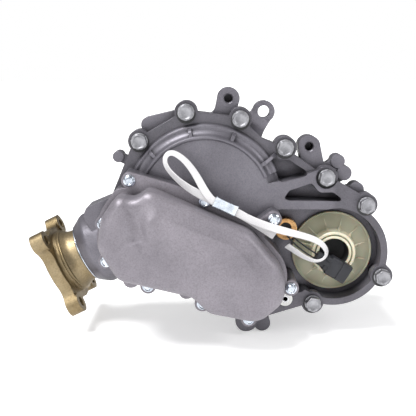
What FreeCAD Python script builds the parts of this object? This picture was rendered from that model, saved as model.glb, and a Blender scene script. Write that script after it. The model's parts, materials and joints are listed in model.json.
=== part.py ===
import FreeCAD, Part
import math
import os
from FreeCAD import Matrix, Placement, Vector

# Angle-drive transfer case: a bevel gearbox bolted to the side of a transaxle.
# Frame: the origin is on the input axis at the rear mounting face, +X right,
# +Y to the rear (towards the transaxle), +Z up.  Lengths in mm, angles in degrees.
# Angles in the X-Z plane are counted from +X towards +Z.

# ---- Gear train --------------------------------------------------------------
spur_module = 2.5
input_teeth = 36
idler_teeth = 22
driven_teeth = 39
spur_width = 14.0
spur_backlash = 0.25
train_angle = 157.7          # from the input axis to the ring axis
pressure_angle = 20.0
ring_teeth = 35
pinion_teeth = 14
ring_pitch_radius = 62.0     # at the heel
bevel_face = 18.0
bevel_backlash = 0.35
ring_shaft_radius = 20.0
pinion_angle = 206.5         # direction of the output shaft
pinion_y = -69.0             # depth of the output axis

# ---- Depths along Y ------------------------------------------------------------
split_y = -106.0             # joint face of the front case
gasket_thick = 0.8
front_flange_thick = 8.0
rear_flange_thick = 13.0
dome_height = 12.0           # the dome's disc stands this far in front of the flange
recess_depth = 20.0          # floor of the bore recess and pockets below the flange face
floor_thick = 6.0
wall_thick = 5.0
joint_width = 4.4            # width of the joint round the case, between bolts
joint_slip = 0.4             # front-case walls inside the rear case clear it by this
cover_seat_height = 24.0     # cover seat in front of the flange face
cover_flange_thick = 7.0
cover_bulge = 31.0           # bulge in front of the cover flange
gear_gap = 3.0               # side clearance of the spur gears
gear_room = 4.25             # room round their pitch circles
rear_wall_thick = 7.0
spur_y = -39.0               # front face of the spur gears
spigot_height = 5.0

# ---- Front case ------------------------------------------------------------------
ring_room = 5.5              # room round the ring gear's pitch circle
dome_side = 11.9             # the dome's foot stands out beyond that room by this
dome_taper = 11.6            # and narrows by this to its disc
dome_rib_thick = 3.6
bore_rail_radius = 57.0
recess_radius = 49.6
boss_radius = 12.0
main_bolt_radius = 5.0
hole_clearance = 0.4
# main bolts: (radius, angle) about the ring axis, then about the input axis
dome_bolts = [(93.0, 136.8), (95.5, 101.9), (93.9, 67.3), (100.6, 34.5)]
bore_bolts = [(83.2, 97.6), (62.0, 59.1), (57.1, -25.4), (58.4, -111.8)]
rear_bolts = [(91.0, 242.0), (139.0, 288.8)]   # these come from the rear
corner_boss = (104.5, 205.0)
main_thread = 20.0           # depth of the threaded holes in the rear case
main_washer_radius = 11.0
main_flats = 15.0
main_head = 10.0
dowel_polar = (71.5, 224.1)
dowel_radius = 4.0
dowel_ring_radius = 7.8

seal_radius = 31.0
idler_front_y = -43.0        # end of the idler pillar on the front case
idler_start_y = -86.0
idler_end_y = -10.0

# ---- Side cover --------------------------------------------------------------------
cover_wall = 4.5
cover_rim = 5.0
cover_boss_radius = 8.2
cover_bolt_radius = 3.0
cover_edge_radius = 9.0
cover_washer_radius = 6.6
cover_flats = 8.0
cover_head = 6.0
# corners of the bulge about the ring axis: x, z, corner radius
cover_corners = [
    (-85.0, 17.0, 11.0), (-70.0, 12.0, 14.0), (-54.0, 22.0, 14.0), (3.0, -3.0, 36.0),
    (45.0, -20.0, 24.0), (80.0, -61.0, 34.0), (78.0, -92.0, 22.0), (54.0, -113.0, 24.0),
    (4.0, -103.0, 20.0), (-13.0, -86.0, 16.0), (-86.0, -69.0, 18.0), (-106.0, -36.0, 20.0),
    (-101.0, -6.0, 20.0)]
cover_bolts = [(-75.6, 27.4), (-0.1, 6.2), (69.3, -12.2), (88.4, -84.6), (45.3, -118.0),
               (-2.7, -101.3), (-58.6, -82.2), (-100.9, -55.9), (-103.1, -16.9)]
cover_blank_bosses = [(-76.1, -76.0), (-19.1, -87.8)]

# ---- Bearings: bore radius, outer radius, width ---------------------------------------
ring_bearing = (17.5, 31.0, 14.0)
input_bearing = (24.0, 36.0, 14.0)
pinion_inner_bearing = (17.0, 31.0, 18.0)
pinion_outer_bearing = (15.0, 29.0, 16.0)
idler_shaft_radius = 10.0
needle_outer_radius = 13.0
roller_small_radius = 2.2
roller_large_radius = 2.7
race_gap = 3.1               # from the rollers' middle line to either race
seat_gap = 0.02
running_gap = 0.3

# ---- Input shaft and plug -----------------------------------------------------------
input_bore_radius = 17.0
input_shaft_front = -92.0
input_shaft_rear = 4.0
input_gear_seat = 27.0
plug_radius = 43.2
plug_hole_radius = 16.5
plug_collar_radius = 23.5
plug_rib_count = 12
plug_height = 18.0

# ---- Output side -------------------------------------------------------------------
snout_radius = 41.5
snout_end_radius = 34.5      # its shoulder rounds down to this at the seal
snout_shoulder = 11.0
output_seal_radius = 31.5
hub_radius = 24.0
spline_radius = 13.0
thread_radius = 9.0
snout_end = 147.6            # distance from the ring axis along the output axis
tail_cover = 13.0            # from the tail bearing to the snout's end
neck_length = 23.4           # from the snout's end to the flange plate
neck_radius = 30.0           # at the snout
neck_root_radius = 34.8      # at the plate
bead_height = 1.4
flange_thick = 15.0
plate_step = 2.0             # the plate is this much thinner than its lugs
flange_bolt_circle = 109.0
flange_hole_radius = 5.5
flange_lug_radius = 11.0
flange_lug_count = 4
flange_disc_radius = 43.0
flange_hollow = 14.0         # radius of the hollow curve beside each lug
flange_phase = 43.5
nut_sink = 3.0               # the nut's seat is behind the plate by this
nut_flats = 30.0
nut_washer = 2.5
nut_height = 11.0
thread_show = 2.5

# ---- Rear mounting -------------------------------------------------------------------
mount_bolt_circle = 116.0
mount_hole_radius = 4.25
mount_hole_depth = 16.0
mount_boss_radius = 10.0
mount_angles = [0.0, 90.0, 180.0, 270.0]
spigot_radius = 38.0
ear_a_polar = (109.7, 77.3)  # threaded ears: A about the ring axis, C about the input axis
ear_c_polar = (116.9, 104.0)
ear_radius = 11.8
ear_thick = 20.0
ear_hole_radius = 4.25
lug_polar = (111.8, 55.8)    # lifting lug about the ring axis
lug_face_y = -81.0
lug_thick = 14.0
lug_hole_radius = 6.5
chamber_wall = 5.0
bevel_wall = 7.0             # wall of the rear case round the bevel pair
bevel_space_end = -49.0
plug_thread_radius = 8.0
# small lobes on the rear case about the input axis: x, z, radius
side_lobes = [(2.8, 97.7, 7.5), (9.9, 85.1, 8.0), (23.7, 67.4, 8.0), (-93.6, -83.0, 9.0),
              (-74.7, -82.4, 9.0), (-229.4, 102.6, 6.0)]
top_lug = [(-196.6, 136.5), (-169.0, 143.0)]
snout_ledge = [(-269.0, 38.0, 4), (-265.0, 48.0, 4), (-246.0, 56.0, 4), (-226.0, 64.0, 0),
               (-215.0, 20.0, 0), (-252.0, 8.0, 4)]
rear_boss_y = -3.0           # rear face of the bearing bosses

# ---- Strap, clip, leads and plug connector ------------------------------------------
strap_width = 8.0
strap_thick = 1.6
strap_gap = 0.35
lead_radius = 0.85
port_radius = 12.0
port_height = 10.0
port_point = (-50.9, 24.9)
strap_y = -153.0             # middle of the strap's rear layer where the seal holds it
strap_angle = -25.0
strap_seal_point = (-117.7, 58.9)
strap_front_y = strap_y - strap_thick - strap_gap
# middle line of the strap: x, y, z and the roll of its width about the line
strap_route = [
    (-67.8, -150.5, 28.4, 0), (-80.0, -151.5, 36.4, 0), (-94.0, -152.6, 45.9, 0),
    (-108.0, strap_y, 54.4, 0), (-117.7, strap_y, 58.9, 0), (-128.0, strap_y, 63.7, 0),
    (-137.0, strap_y, 67.9, 0), (-147.0, -153.2, 73.3, 12), (-158.0, -152.4, 80.2, 32),
    (-168.0, -151.6, 88.8, 48), (-175.5, -151.2, 97.6, 55), (-177.6, -151.0, 105.6, 58),
    (-174.8, -151.0, 111.2, 60), (-169.6, -151.4, 112.6, 60), (-163.2, -151.6, 109.6, 55),
    (-156.0, -151.8, 103.4, 48), (-149.5, -152.2, 95.0, 40), (-144.0, -153.0, 86.0, 30),
    (-138.6, -154.4, 75.8, 14), (-133.2, strap_front_y, 68.0, 4),
    (-128.6, strap_front_y, 64.0, 0), (-117.7, strap_front_y, 58.9, 0),
    (-108.0, strap_front_y, 54.4, 0), (-94.0, -155.0, 46.6, 0), (-82.0, -154.8, 41.6, 0),
    (-72.0, -154.4, 38.0, 6), (-60.0, -152.6, 34.2, 28), (-48.0, -149.6, 30.6, 42),
    (-36.0, -147.0, 27.0, 50), (-25.0, -145.0, 22.8, 52), (-16.5, -143.0, 16.6, 55),
    (-12.4, -141.5, 9.0, 58), (-14.8, -140.4, 2.2, 60), (-21.6, -140.0, -1.2, 60),
    (-29.6, -140.2, 0.6, 55), (-38.0, -140.8, 5.0, 48), (-46.0, -141.6, 10.6, 42),
    (-54.0, -142.4, 16.4, 38)]
# leads: straight runs joined by arcs; the last run is square to the connector's face
lead_routes = [
    [(-49.6, -99.0, 26.4), (-49.6, -120.1, 24.0), (-31.2, -120.1, 8.46), (-19.16, -120.1, 1.23)],
    [(-52.4, -99.0, 23.6), (-52.4, -120.1, 21.0), (-33.8, -120.1, 3.96), (-21.84, -120.1, -3.23)]]
grommet_y = -99.0
connector_point = (-20.5, -1.0)
connector_back_y = -112.6
connector_thick = 15.0
connector_angle = 31.0

os.makedirs("parts", exist_ok=True)


def export(name, shape):
    shape.exportStep("parts/" + name + ".step")


def cos_deg(angle):
    return math.cos(math.radians(angle))


def sin_deg(angle):
    return math.sin(math.radians(angle))


def polar(centre, radius, angle):
    """Point of the X-Z plane at a radius and an angle from a centre."""
    return (centre[0] + radius * cos_deg(angle), centre[1] + radius * sin_deg(angle))


def at_y(point, y=0.0):
    return Vector(point[0], y, point[1])


def fuse(shapes):
    shapes = list(shapes)
    return shapes[0].multiFuse(shapes[1:]).removeSplitter()


def cut(shape, tools):
    return shape.cut(list(tools))


def biggest(shape):
    return max(shape.Solids, key=lambda s: s.Volume)


def group(shapes):
    return Part.makeCompound(list(shapes))


# Derived places of the axes.
spur_input_radius = spur_module * input_teeth / 2
spur_idler_radius = spur_module * idler_teeth / 2
spur_driven_radius = spur_module * driven_teeth / 2
input_axis = (0.0, 0.0)
idler_axis = polar(input_axis, spur_input_radius + spur_idler_radius, train_angle)
ring_axis = polar(idler_axis, spur_idler_radius + spur_driven_radius, train_angle)

# Derived radii.
driven_space_radius = spur_driven_radius + gear_room
input_space_radius = spur_input_radius + gear_room
ring_space_radius = ring_pitch_radius + ring_room
dome_base_radius = ring_space_radius + dome_side
dome_top_radius = dome_base_radius - dome_taper
bevel_space_radius = dome_base_radius - bevel_wall

# Derived depths.
rear_joint_y = split_y + gasket_thick
flange_face_y = split_y - front_flange_thick
dome_face_y = flange_face_y - dome_height
dome_inner_y = dome_face_y + wall_thick
recess_floor_y = flange_face_y + recess_depth
floor_back_y = recess_floor_y + floor_thick
cover_seat_y = flange_face_y - cover_seat_height
cover_back_y = cover_seat_y - gasket_thick
cover_face_y = cover_back_y - cover_flange_thick
bulge_y = cover_face_y - cover_bulge
rear_flange_y = rear_joint_y + rear_flange_thick
chamber_front_y = spur_y - gear_gap
chamber_rear_y = spur_y + spur_width + gear_gap + 1.0
rear_wall_y = chamber_rear_y + rear_wall_thick
ring_front_bearing_y = dome_inner_y + 1.0
input_front_bearing_y = floor_back_y - 1.0 + 2.0
rear_bearing_y = chamber_rear_y + 1.0
ring_hub_height = pinion_y - (ring_front_bearing_y + ring_bearing[2]) - 0.5

# Derived places along the output axis, from the ring axis.
flange_back = snout_end + neck_length
flange_front = flange_back + flange_thick
nut_seat = flange_back - nut_sink
shaft_end = nut_seat + nut_washer + nut_height + thread_show

ear_a = polar(ring_axis, ear_a_polar[0], ear_a_polar[1])
ear_c = polar(input_axis, ear_c_polar[0], ear_c_polar[1])
lug_b = polar(ring_axis, lug_polar[0], lug_polar[1])
fill_point = polar(ring_axis, 50.0, 100.0)
drain_point = polar(ring_axis, 99.0, 275.0)
main_bolt_points = ([polar(ring_axis, r, a) for r, a in dome_bolts]
                    + [polar(input_axis, r, a) for r, a in bore_bolts])
rear_bolt_points = [polar(ring_axis, r, a) for r, a in rear_bolts]
corner_boss_point = polar(ring_axis, corner_boss[0], corner_boss[1])
cover_bolt_points = [(ring_axis[0] + x, ring_axis[1] + z) for x, z in cover_bolts]
cover_boss_points = cover_bolt_points + [
    (ring_axis[0] + x, ring_axis[1] + z) for x, z in cover_blank_bosses]
dowel_point = polar(input_axis, dowel_polar[0], dowel_polar[1])
mount_points = [polar(input_axis, mount_bolt_circle / 2, a) for a in mount_angles]
mount_boss_y = rear_wall_y - 10.0
rear_seal_radius = seal_radius + 2.0
ear_front_y = rear_joint_y + 2.0
ear_depth = ear_thick - 4.0
case_middle = polar(ring_axis, 0.4 * math.hypot(ring_axis[0], ring_axis[1]), train_angle + 180)


# ---- Shapes used throughout ---------------------------------------------------------
def cyl_y(centre, radius, y0, y1):
    return Part.makeCylinder(radius, y1 - y0, at_y(centre, y0), Vector(0, 1, 0))


def tube_y(centre, outer, inner, y0, y1):
    return cyl_y(centre, outer, y0, y1).cut(cyl_y(centre, inner, y0 - 1, y1 + 1))


def rounded_wire(corners, place):
    """Closed wire through corners (u, v, radius): straight runs with tangent arcs."""
    count = len(corners)
    starts = []
    edges = []
    for i in range(count):
        u, v, radius = corners[i]
        pu, pv, _ = corners[i - 1]
        nu, nv, _ = corners[(i + 1) % count]
        back = math.hypot(pu - u, pv - v)
        ahead = math.hypot(nu - u, nv - v)
        du, dv = (pu - u) / back, (pv - v) / back
        eu, ev = (nu - u) / ahead, (nv - v) / ahead
        half = 0.5 * math.acos(max(-1.0, min(1.0, du * eu + dv * ev)))
        trim = min(radius / math.tan(half), 0.49 * back, 0.49 * ahead)
        fit = trim * math.tan(half)
        if trim < 0.05:
            starts.append(((u, v), (u, v), None))
            continue
        reach = fit / math.sin(half) - fit
        bu, bv = du + eu, dv + ev
        size = math.hypot(bu, bv)
        middle = (u + bu / size * reach, v + bv / size * reach)
        starts.append(((u + du * trim, v + dv * trim), (u + eu * trim, v + ev * trim), middle))
    for i in range(count):
        enter, leave, middle = starts[i]
        if middle is not None:
            edges.append(Part.Arc(place(enter), place(middle), place(leave)).toShape())
        following = starts[(i + 1) % count][0]
        if math.hypot(following[0] - leave[0], following[1] - leave[1]) > 1e-4:
            edges.append(Part.LineSegment(place(leave), place(following)).toShape())
    return Part.Wire(Part.__sortEdges__(edges))


def outline(corners):
    """Face in the X-Z plane from corners (x, z, radius)."""
    return Part.Face(rounded_wire(corners, lambda p: Vector(p[0], 0, p[1])))


def disc(centre, radius):
    return Part.Face(Part.Wire(Part.Circle(at_y(centre), Vector(0, 1, 0), radius).toShape()))


def link(start, end, radius):
    """Capsule-shaped face round the line between two points."""
    angle = math.degrees(math.atan2(end[1] - start[1], end[0] - start[0]))
    a, b = polar(start, radius, angle + 90), polar(start, radius, angle + 180)
    c, d = polar(start, radius, angle - 90), polar(end, radius, angle - 90)
    e, f = polar(end, radius, angle), polar(end, radius, angle + 90)
    edges = [Part.Arc(at_y(a), at_y(b), at_y(c)).toShape(),
             Part.LineSegment(at_y(c), at_y(d)).toShape(),
             Part.Arc(at_y(d), at_y(e), at_y(f)).toShape(),
             Part.LineSegment(at_y(f), at_y(a)).toShape()]
    return Part.Face(Part.Wire(edges))


def prism(face, y0, y1):
    """Face of the X-Z plane carried from y0 to y1."""
    solid = face.extrude(Vector(0, y1 - y0, 0))
    solid.translate(Vector(0, y0, 0))
    return solid


def merged(faces):
    """One face from several that overlap: the foot of their fused slab."""
    slab = fuse([prism(face, 0.0, 1.0) for face in faces])
    return max((f for f in slab.Faces if f.BoundBox.YMax < 0.01), key=lambda f: f.Area)


def plate(faces, y0, y1):
    """Prisms of several faces, fused."""
    return fuse([prism(face, y0, y1) for face in faces])


def revolve_y(corners, centre):
    """Solid turned about the Y line through a centre; corners are (r, y, radius)."""
    wire = rounded_wire(corners, lambda p: Vector(centre[0] + p[0], p[1], centre[1]))
    return Part.Face(wire).revolve(at_y(centre), Vector(0, 1, 0), 360)


def revolve_z(corners):
    """Solid turned about local Z; corners are (r, z, radius)."""
    wire = rounded_wire(corners, lambda p: Vector(p[0], 0, p[1]))
    return Part.Face(wire).revolve(Vector(0, 0, 0), Vector(0, 0, 1), 360)


def frame_placement(x_axis, y_axis, z_axis, origin):
    matrix = Matrix(x_axis.x, y_axis.x, z_axis.x, origin.x,
                    x_axis.y, y_axis.y, z_axis.y, origin.y,
                    x_axis.z, y_axis.z, z_axis.z, origin.z, 0, 0, 0, 1)
    return Placement(matrix)


output_dir = Vector(cos_deg(pinion_angle), 0, sin_deg(pinion_angle))
apex = at_y(ring_axis, pinion_y)
forward = Vector(0, -1, 0)
pinion_frame = frame_placement(forward, output_dir.cross(forward), output_dir, apex)
ring_frame = frame_placement(output_dir, forward.cross(output_dir), forward, apex)


def on_pinion(shape):
    """Places a shape drawn about local Z on the output axis, Z counted from the ring axis."""
    placed = shape.copy()
    placed.Placement = pinion_frame.multiply(placed.Placement)
    return placed


def cyl_z(radius, z0, z1, x=0.0, y=0.0):
    return Part.makeCylinder(radius, z1 - z0, Vector(x, y, z0))


def tube_z(outer, inner, z0, z1):
    return cyl_z(outer, z0, z1).cut(cyl_z(inner, z0 - 1, z1 + 1))


def hex_prism(across_flats, centre, y0, y1, turn=0.0):
    corner = across_flats / 2 / cos_deg(30)
    points = [at_y(polar(centre, corner, turn + 60 * i)) for i in range(7)]
    return prism(Part.Face(Part.makePolygon(points)), y0, y1)


# ---- Gears -----------------------------------------------------------------------------
def involute(angle):
    return math.tan(angle) - angle


def spur_gear(teeth, centre, tooth_angle, y0, width):
    """Spur gear whose flanks are arcs through three points of the involute."""
    pitch = spur_module * teeth / 2
    pressure = math.radians(pressure_angle)
    base = pitch * math.cos(pressure)
    tip = pitch + 0.95 * spur_module
    root = pitch - 1.2 * spur_module
    start = max(base, root) + 0.05
    half_pitch = math.pi / (2 * teeth) - spur_backlash / (2 * pitch)

    def half_angle(radius):
        return half_pitch + involute(pressure) - involute(math.acos(base / radius))

    def point(radius, angle):
        return at_y(polar(centre, radius, math.degrees(angle)))

    step = 2 * math.pi / teeth
    middle = 0.5 * (start + tip)
    edges = []
    for i in range(teeth):
        a = math.radians(tooth_angle) + i * step
        low, mid, high = half_angle(start), half_angle(middle), half_angle(tip)
        edges.append(Part.LineSegment(point(root, a - low), point(start, a - low)).toShape())
        edges.append(Part.Arc(point(start, a - low), point(middle, a - mid),
                              point(tip, a - high)).toShape())
        edges.append(Part.LineSegment(point(tip, a - high), point(tip, a + high)).toShape())
        edges.append(Part.Arc(point(tip, a + high), point(middle, a + mid),
                              point(start, a + low)).toShape())
        edges.append(Part.LineSegment(point(start, a + low), point(root, a + low)).toShape())
        edges.append(Part.LineSegment(point(root, a + low), point(root, a + step - low)).toShape())
    return prism(Part.Face(Part.Wire(edges)), y0, y0 + width)


def toothed_cone(teeth, cone_angle, heel_distance, tooth_phase, z0, z1):
    """Cone with straight bevel teeth of spherical-involute form, apex at the origin."""
    cone = math.radians(cone_angle)
    base = math.asin(math.sin(cone) * math.cos(math.radians(pressure_angle)))
    module = 2 * heel_distance * math.sin(cone) / teeth
    tip = cone + math.atan(0.9 * module / heel_distance)
    root = cone - math.atan(1.1 * module / heel_distance)
    start = max(base, root) + 0.002
    heel_radius = heel_distance * math.sin(cone)
    half_pitch = math.pi / (2 * teeth) - bevel_backlash / (2 * heel_radius)

    def flank(angle):
        return (math.acos(math.cos(angle) / math.cos(base)) / math.sin(base)
                - math.acos(math.tan(base) / math.tan(angle)))

    def half_angle(angle):
        return half_pitch + flank(cone) - flank(angle)

    def ring_wire(z):
        points = []
        middle = 0.5 * (start + tip)
        for i in range(teeth):
            a = math.radians(tooth_phase) + 2 * math.pi * i / teeth
            for angle, half in ((root, half_angle(start)), (start, half_angle(start)),
                                (middle, half_angle(middle)), (tip, half_angle(tip))):
                points.append((z * math.tan(angle), a - half))
            for angle, half in ((tip, half_angle(tip)), (middle, half_angle(middle)),
                                (start, half_angle(start)), (root, half_angle(start))):
                points.append((z * math.tan(angle), a + half))
        corners = [Vector(r * math.cos(t), r * math.sin(t), z) for r, t in points]
        return Part.makePolygon(corners + corners[:1])

    return Part.makeLoft([ring_wire(z0), ring_wire(z1)], True, True)


ring_cone = math.degrees(math.atan(ring_teeth / pinion_teeth))
pinion_cone = 90.0 - ring_cone
heel = ring_pitch_radius / sin_deg(ring_cone)
toe = heel - bevel_face
bevel_module = 2 * ring_pitch_radius / ring_teeth
addendum_angle = math.degrees(math.atan(0.9 * bevel_module / heel))


def bevel_point(distance, angle):
    """(radius, height) at a cone distance and a cone angle."""
    return (distance * sin_deg(angle), distance * cos_deg(angle))


def make_ring_gear():
    tip_toe = bevel_point(toe, ring_cone + addendum_angle)
    tip_heel = bevel_point(heel, ring_cone + addendum_angle)
    back = ring_hub_height
    blank = revolve_z([
        (ring_shaft_radius + seat_gap, 22.0, 0), (32.0, 22.0, 2), (36.0, 26.0, 3),
        (tip_toe[0] - 1.5, tip_toe[1] + 8.0, 0), (tip_toe[0], tip_toe[1], 0),
        (tip_heel[0], tip_heel[1], 0), (tip_heel[0] + 1.5, tip_heel[1] + 8.0, 0),
        (tip_heel[0] - 1.5, back, 2), (ring_shaft_radius + seat_gap, back, 0)])
    teeth = toothed_cone(ring_teeth, ring_cone, heel, 180.0 / ring_teeth, 10.0, back + 4.0)
    gear = blank.common(teeth)
    gear.Placement = ring_frame
    return gear


def make_pinion():
    tip_toe = bevel_point(toe, pinion_cone + addendum_angle)
    tip_heel = bevel_point(heel, pinion_cone + addendum_angle)
    bearing_start = tip_heel[1] + 6.5
    head = revolve_z([
        (0, tip_toe[1] - 0.5, 0), (tip_toe[0] - 0.5, tip_toe[1] - 0.5, 0),
        (tip_toe[0], tip_toe[1], 0), (tip_heel[0], tip_heel[1], 0),
        (tip_heel[0] - 2.0, bearing_start - 0.5, 0), (0, bearing_start - 0.5, 0)])
    teeth = toothed_cone(pinion_teeth, pinion_cone, heel, 0.0, tip_toe[1] - 8.0,
                         bearing_start + 6.0)
    inner_r = pinion_inner_bearing[0]
    outer_r = pinion_outer_bearing[0]
    shaft = revolve_z([
        (0, bearing_start - 4.0, 0), (inner_r + 4.0, bearing_start - 4.0, 0),
        (inner_r + 4.0, bearing_start, 0), (inner_r, bearing_start, 0),
        (inner_r, pinion_outer_start, 0.5), (outer_r, pinion_outer_start, 0.5),
        (outer_r, flange_hub_start - 0.1, 0), (spline_radius, flange_hub_start - 0.1, 0),
        (spline_radius, nut_seat, 1), (thread_radius, nut_seat, 0),
        (thread_radius, shaft_end, 1.5), (0, shaft_end, 0)])
    return on_pinion(fuse([head.common(teeth), shaft]))


# Places along the output axis.
pinion_inner_start = bevel_point(heel, pinion_cone + addendum_angle)[1] + 6.5
pinion_inner_end = pinion_inner_start + pinion_inner_bearing[2]
pinion_outer_end = snout_end - tail_cover
pinion_outer_start = pinion_outer_end - pinion_outer_bearing[2]
flange_hub_start = pinion_outer_end + 0.2
seal_start = pinion_outer_end + 1.5


def tapered_bearing(size, start, flip):
    """Outer race, and inner race with its rollers, about local Z."""
    bore, outer, width = size
    mid = 0.5 * (bore + outer)
    lean = 0.12 * width
    outer_race = revolve_z([
        (mid + race_gap - lean, start, 0), (outer, start, 0.8), (outer, start + width, 0.8),
        (mid + race_gap + lean, start + width, 0)])
    inner_race = revolve_z([
        (bore + seat_gap, start, 0.5), (mid - race_gap - lean, start, 0),
        (mid - race_gap + lean, start + width, 0), (bore + seat_gap, start + width, 0.5)])
    tilt = math.degrees(math.atan(2 * lean / width))
    count = int(2 * math.pi * mid / (3.0 * roller_small_radius))
    length = width - 3.0
    rollers = []
    for i in range(count):
        roller = Part.makeCone(roller_small_radius, roller_large_radius, length,
                               Vector(0, 0, -length / 2))
        roller.rotate(Vector(0, 0, 0), Vector(0, 1, 0), tilt)
        roller.translate(Vector(mid, 0, start + width / 2))
        roller.rotate(Vector(0, 0, 0), Vector(0, 0, 1), 360.0 * i / count)
        rollers.append(roller)
    parts = [outer_race, group([inner_race] + rollers)]
    if flip:
        for part in parts:
            middle = Vector(0, 0, start + width / 2)
            part.rotate(middle, Vector(1, 0, 0), 180)
    return parts


def ball_bearing(size, centre, y0):
    """Outer ring, and inner ring with its shield, about a line along Y."""
    bore, outer, width = size
    mid = 0.5 * (bore + outer)
    outer_ring = revolve_y([
        (mid + 2.0, y0, 0), (outer, y0, 0.8), (outer, y0 + width, 0.8),
        (mid + 2.0, y0 + width, 0)], centre)
    inner_ring = revolve_y([
        (bore + seat_gap, y0, 0.6), (mid - 2.0, y0, 0), (mid - 2.0, y0 + 2.0, 0),
        (mid + 1.7, y0 + 2.0, 0), (mid + 1.7, y0 + width - 2.0, 0),
        (mid - 2.0, y0 + width - 2.0, 0), (mid - 2.0, y0 + width, 0),
        (bore + seat_gap, y0 + width, 0.6)], centre)
    return outer_ring, inner_ring


# ---- Outlines of the cases -----------------------------------------------------------
bulge_corners = [(ring_axis[0] + x, ring_axis[1] + z, r) for x, z, r in cover_corners]


def bulge_face(offset=0.0):
    face = outline(bulge_corners)
    return face.makeOffset2D(offset) if offset else face


def cover_faces(grow=0.0):
    """Faces that together make the cover's flange."""
    start, end, ear = cover_bolt_points[0], cover_bolt_points[1], cover_bolt_points[2]
    inner = polar(ear, 34.0, 217.0)
    faces = [bulge_face(cover_rim + grow), link(start, end, cover_boss_radius + grow),
             link(inner, ear, cover_boss_radius + grow)]
    return faces + [disc(p, cover_boss_radius + grow) for p in cover_boss_points]


def case_corners():
    """Corners of the joint flange, walked clockwise from the left rail."""
    left = polar(ring_axis, 98.0, 139.0)
    low_left = polar(ring_axis, 106.0, 186.0)
    points = [(low_left[0], low_left[1], 10.0), (left[0], left[1], 8.0)]
    points += [(x, z + 2.0, 6.0) for x, z in main_bolt_points[1:3]]
    notch = polar(ring_axis, 89.0, 48.0)
    points.append((notch[0], notch[1], 8.0))
    points += [(x, z, 3.0) for x, z in main_bolt_points[3:6]]
    points.append((main_bolt_points[7][0], main_bolt_points[7][1], 3.0))
    lug = rear_bolt_points[1]
    points.append((lug[0] + 23.0, lug[1] + 6.0, 10.0))
    points.append((lug[0], lug[1], 10.0))
    points.append((lug[0] - 40.0, lug[1] + 30.0, 12.0))
    points.append((rear_bolt_points[0][0], rear_bolt_points[0][1], 6.0))
    points.append((corner_boss_point[0] - 6.0, corner_boss_point[1] - 8.0, 12.0))
    return points


def case_faces():
    return ([outline(case_corners()), disc(input_axis, bore_rail_radius)]
            + [disc(p, boss_radius) for p in main_bolt_points + rear_bolt_points]
            + [disc(corner_boss_point, boss_radius)])


def inner_case_face(extra=0.0):
    """Area inside the joint, clear of the bolts; extra makes it smaller."""
    face = merged([outline(case_corners()), disc(input_axis, bore_rail_radius)])
    inside = face.makeOffset2D(-joint_width - extra)
    holes = [disc(p, main_bolt_radius + joint_width + extra) for p in main_bolt_points]
    return max(inside.cut(holes).Faces, key=lambda f: f.Area)


arm_corners = [(-118.0, 84.0, 0), (-74.7, 77.5, 0), (-58.0, 80.5, 3), (-20.0, 90.5, 0),
               (30.0, 62.0, 0), (30.0, 47.0, 0), (-59.3, 50.6, 6), (-90.0, 40.0, 0)]
pocket_one = [(-72.0, 103.0, 3), (-50.0, 100.5, 5), (-27.5, 85.8, 3), (-60.0, 78.5, 3)]
pocket_two = [(-56.5, 61.5, 3.5), (-50.5, 70.0, 4), (-27.0, 77.0, 3), (-18.5, 67.0, 7),
              (-4.0, 67.0, 7), (9.5, 57.0, 2), (-50.0, 59.4, 3)]


def recess_faces():
    return [disc(input_axis, recess_radius),
            outline([(-66.0, 50.0, 4), (18.0, 46.5, 4), (10.0, -10.0, 0),
                     (-36.0, -44.0, 6), (-62.0, -30.0, 4)])]


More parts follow.
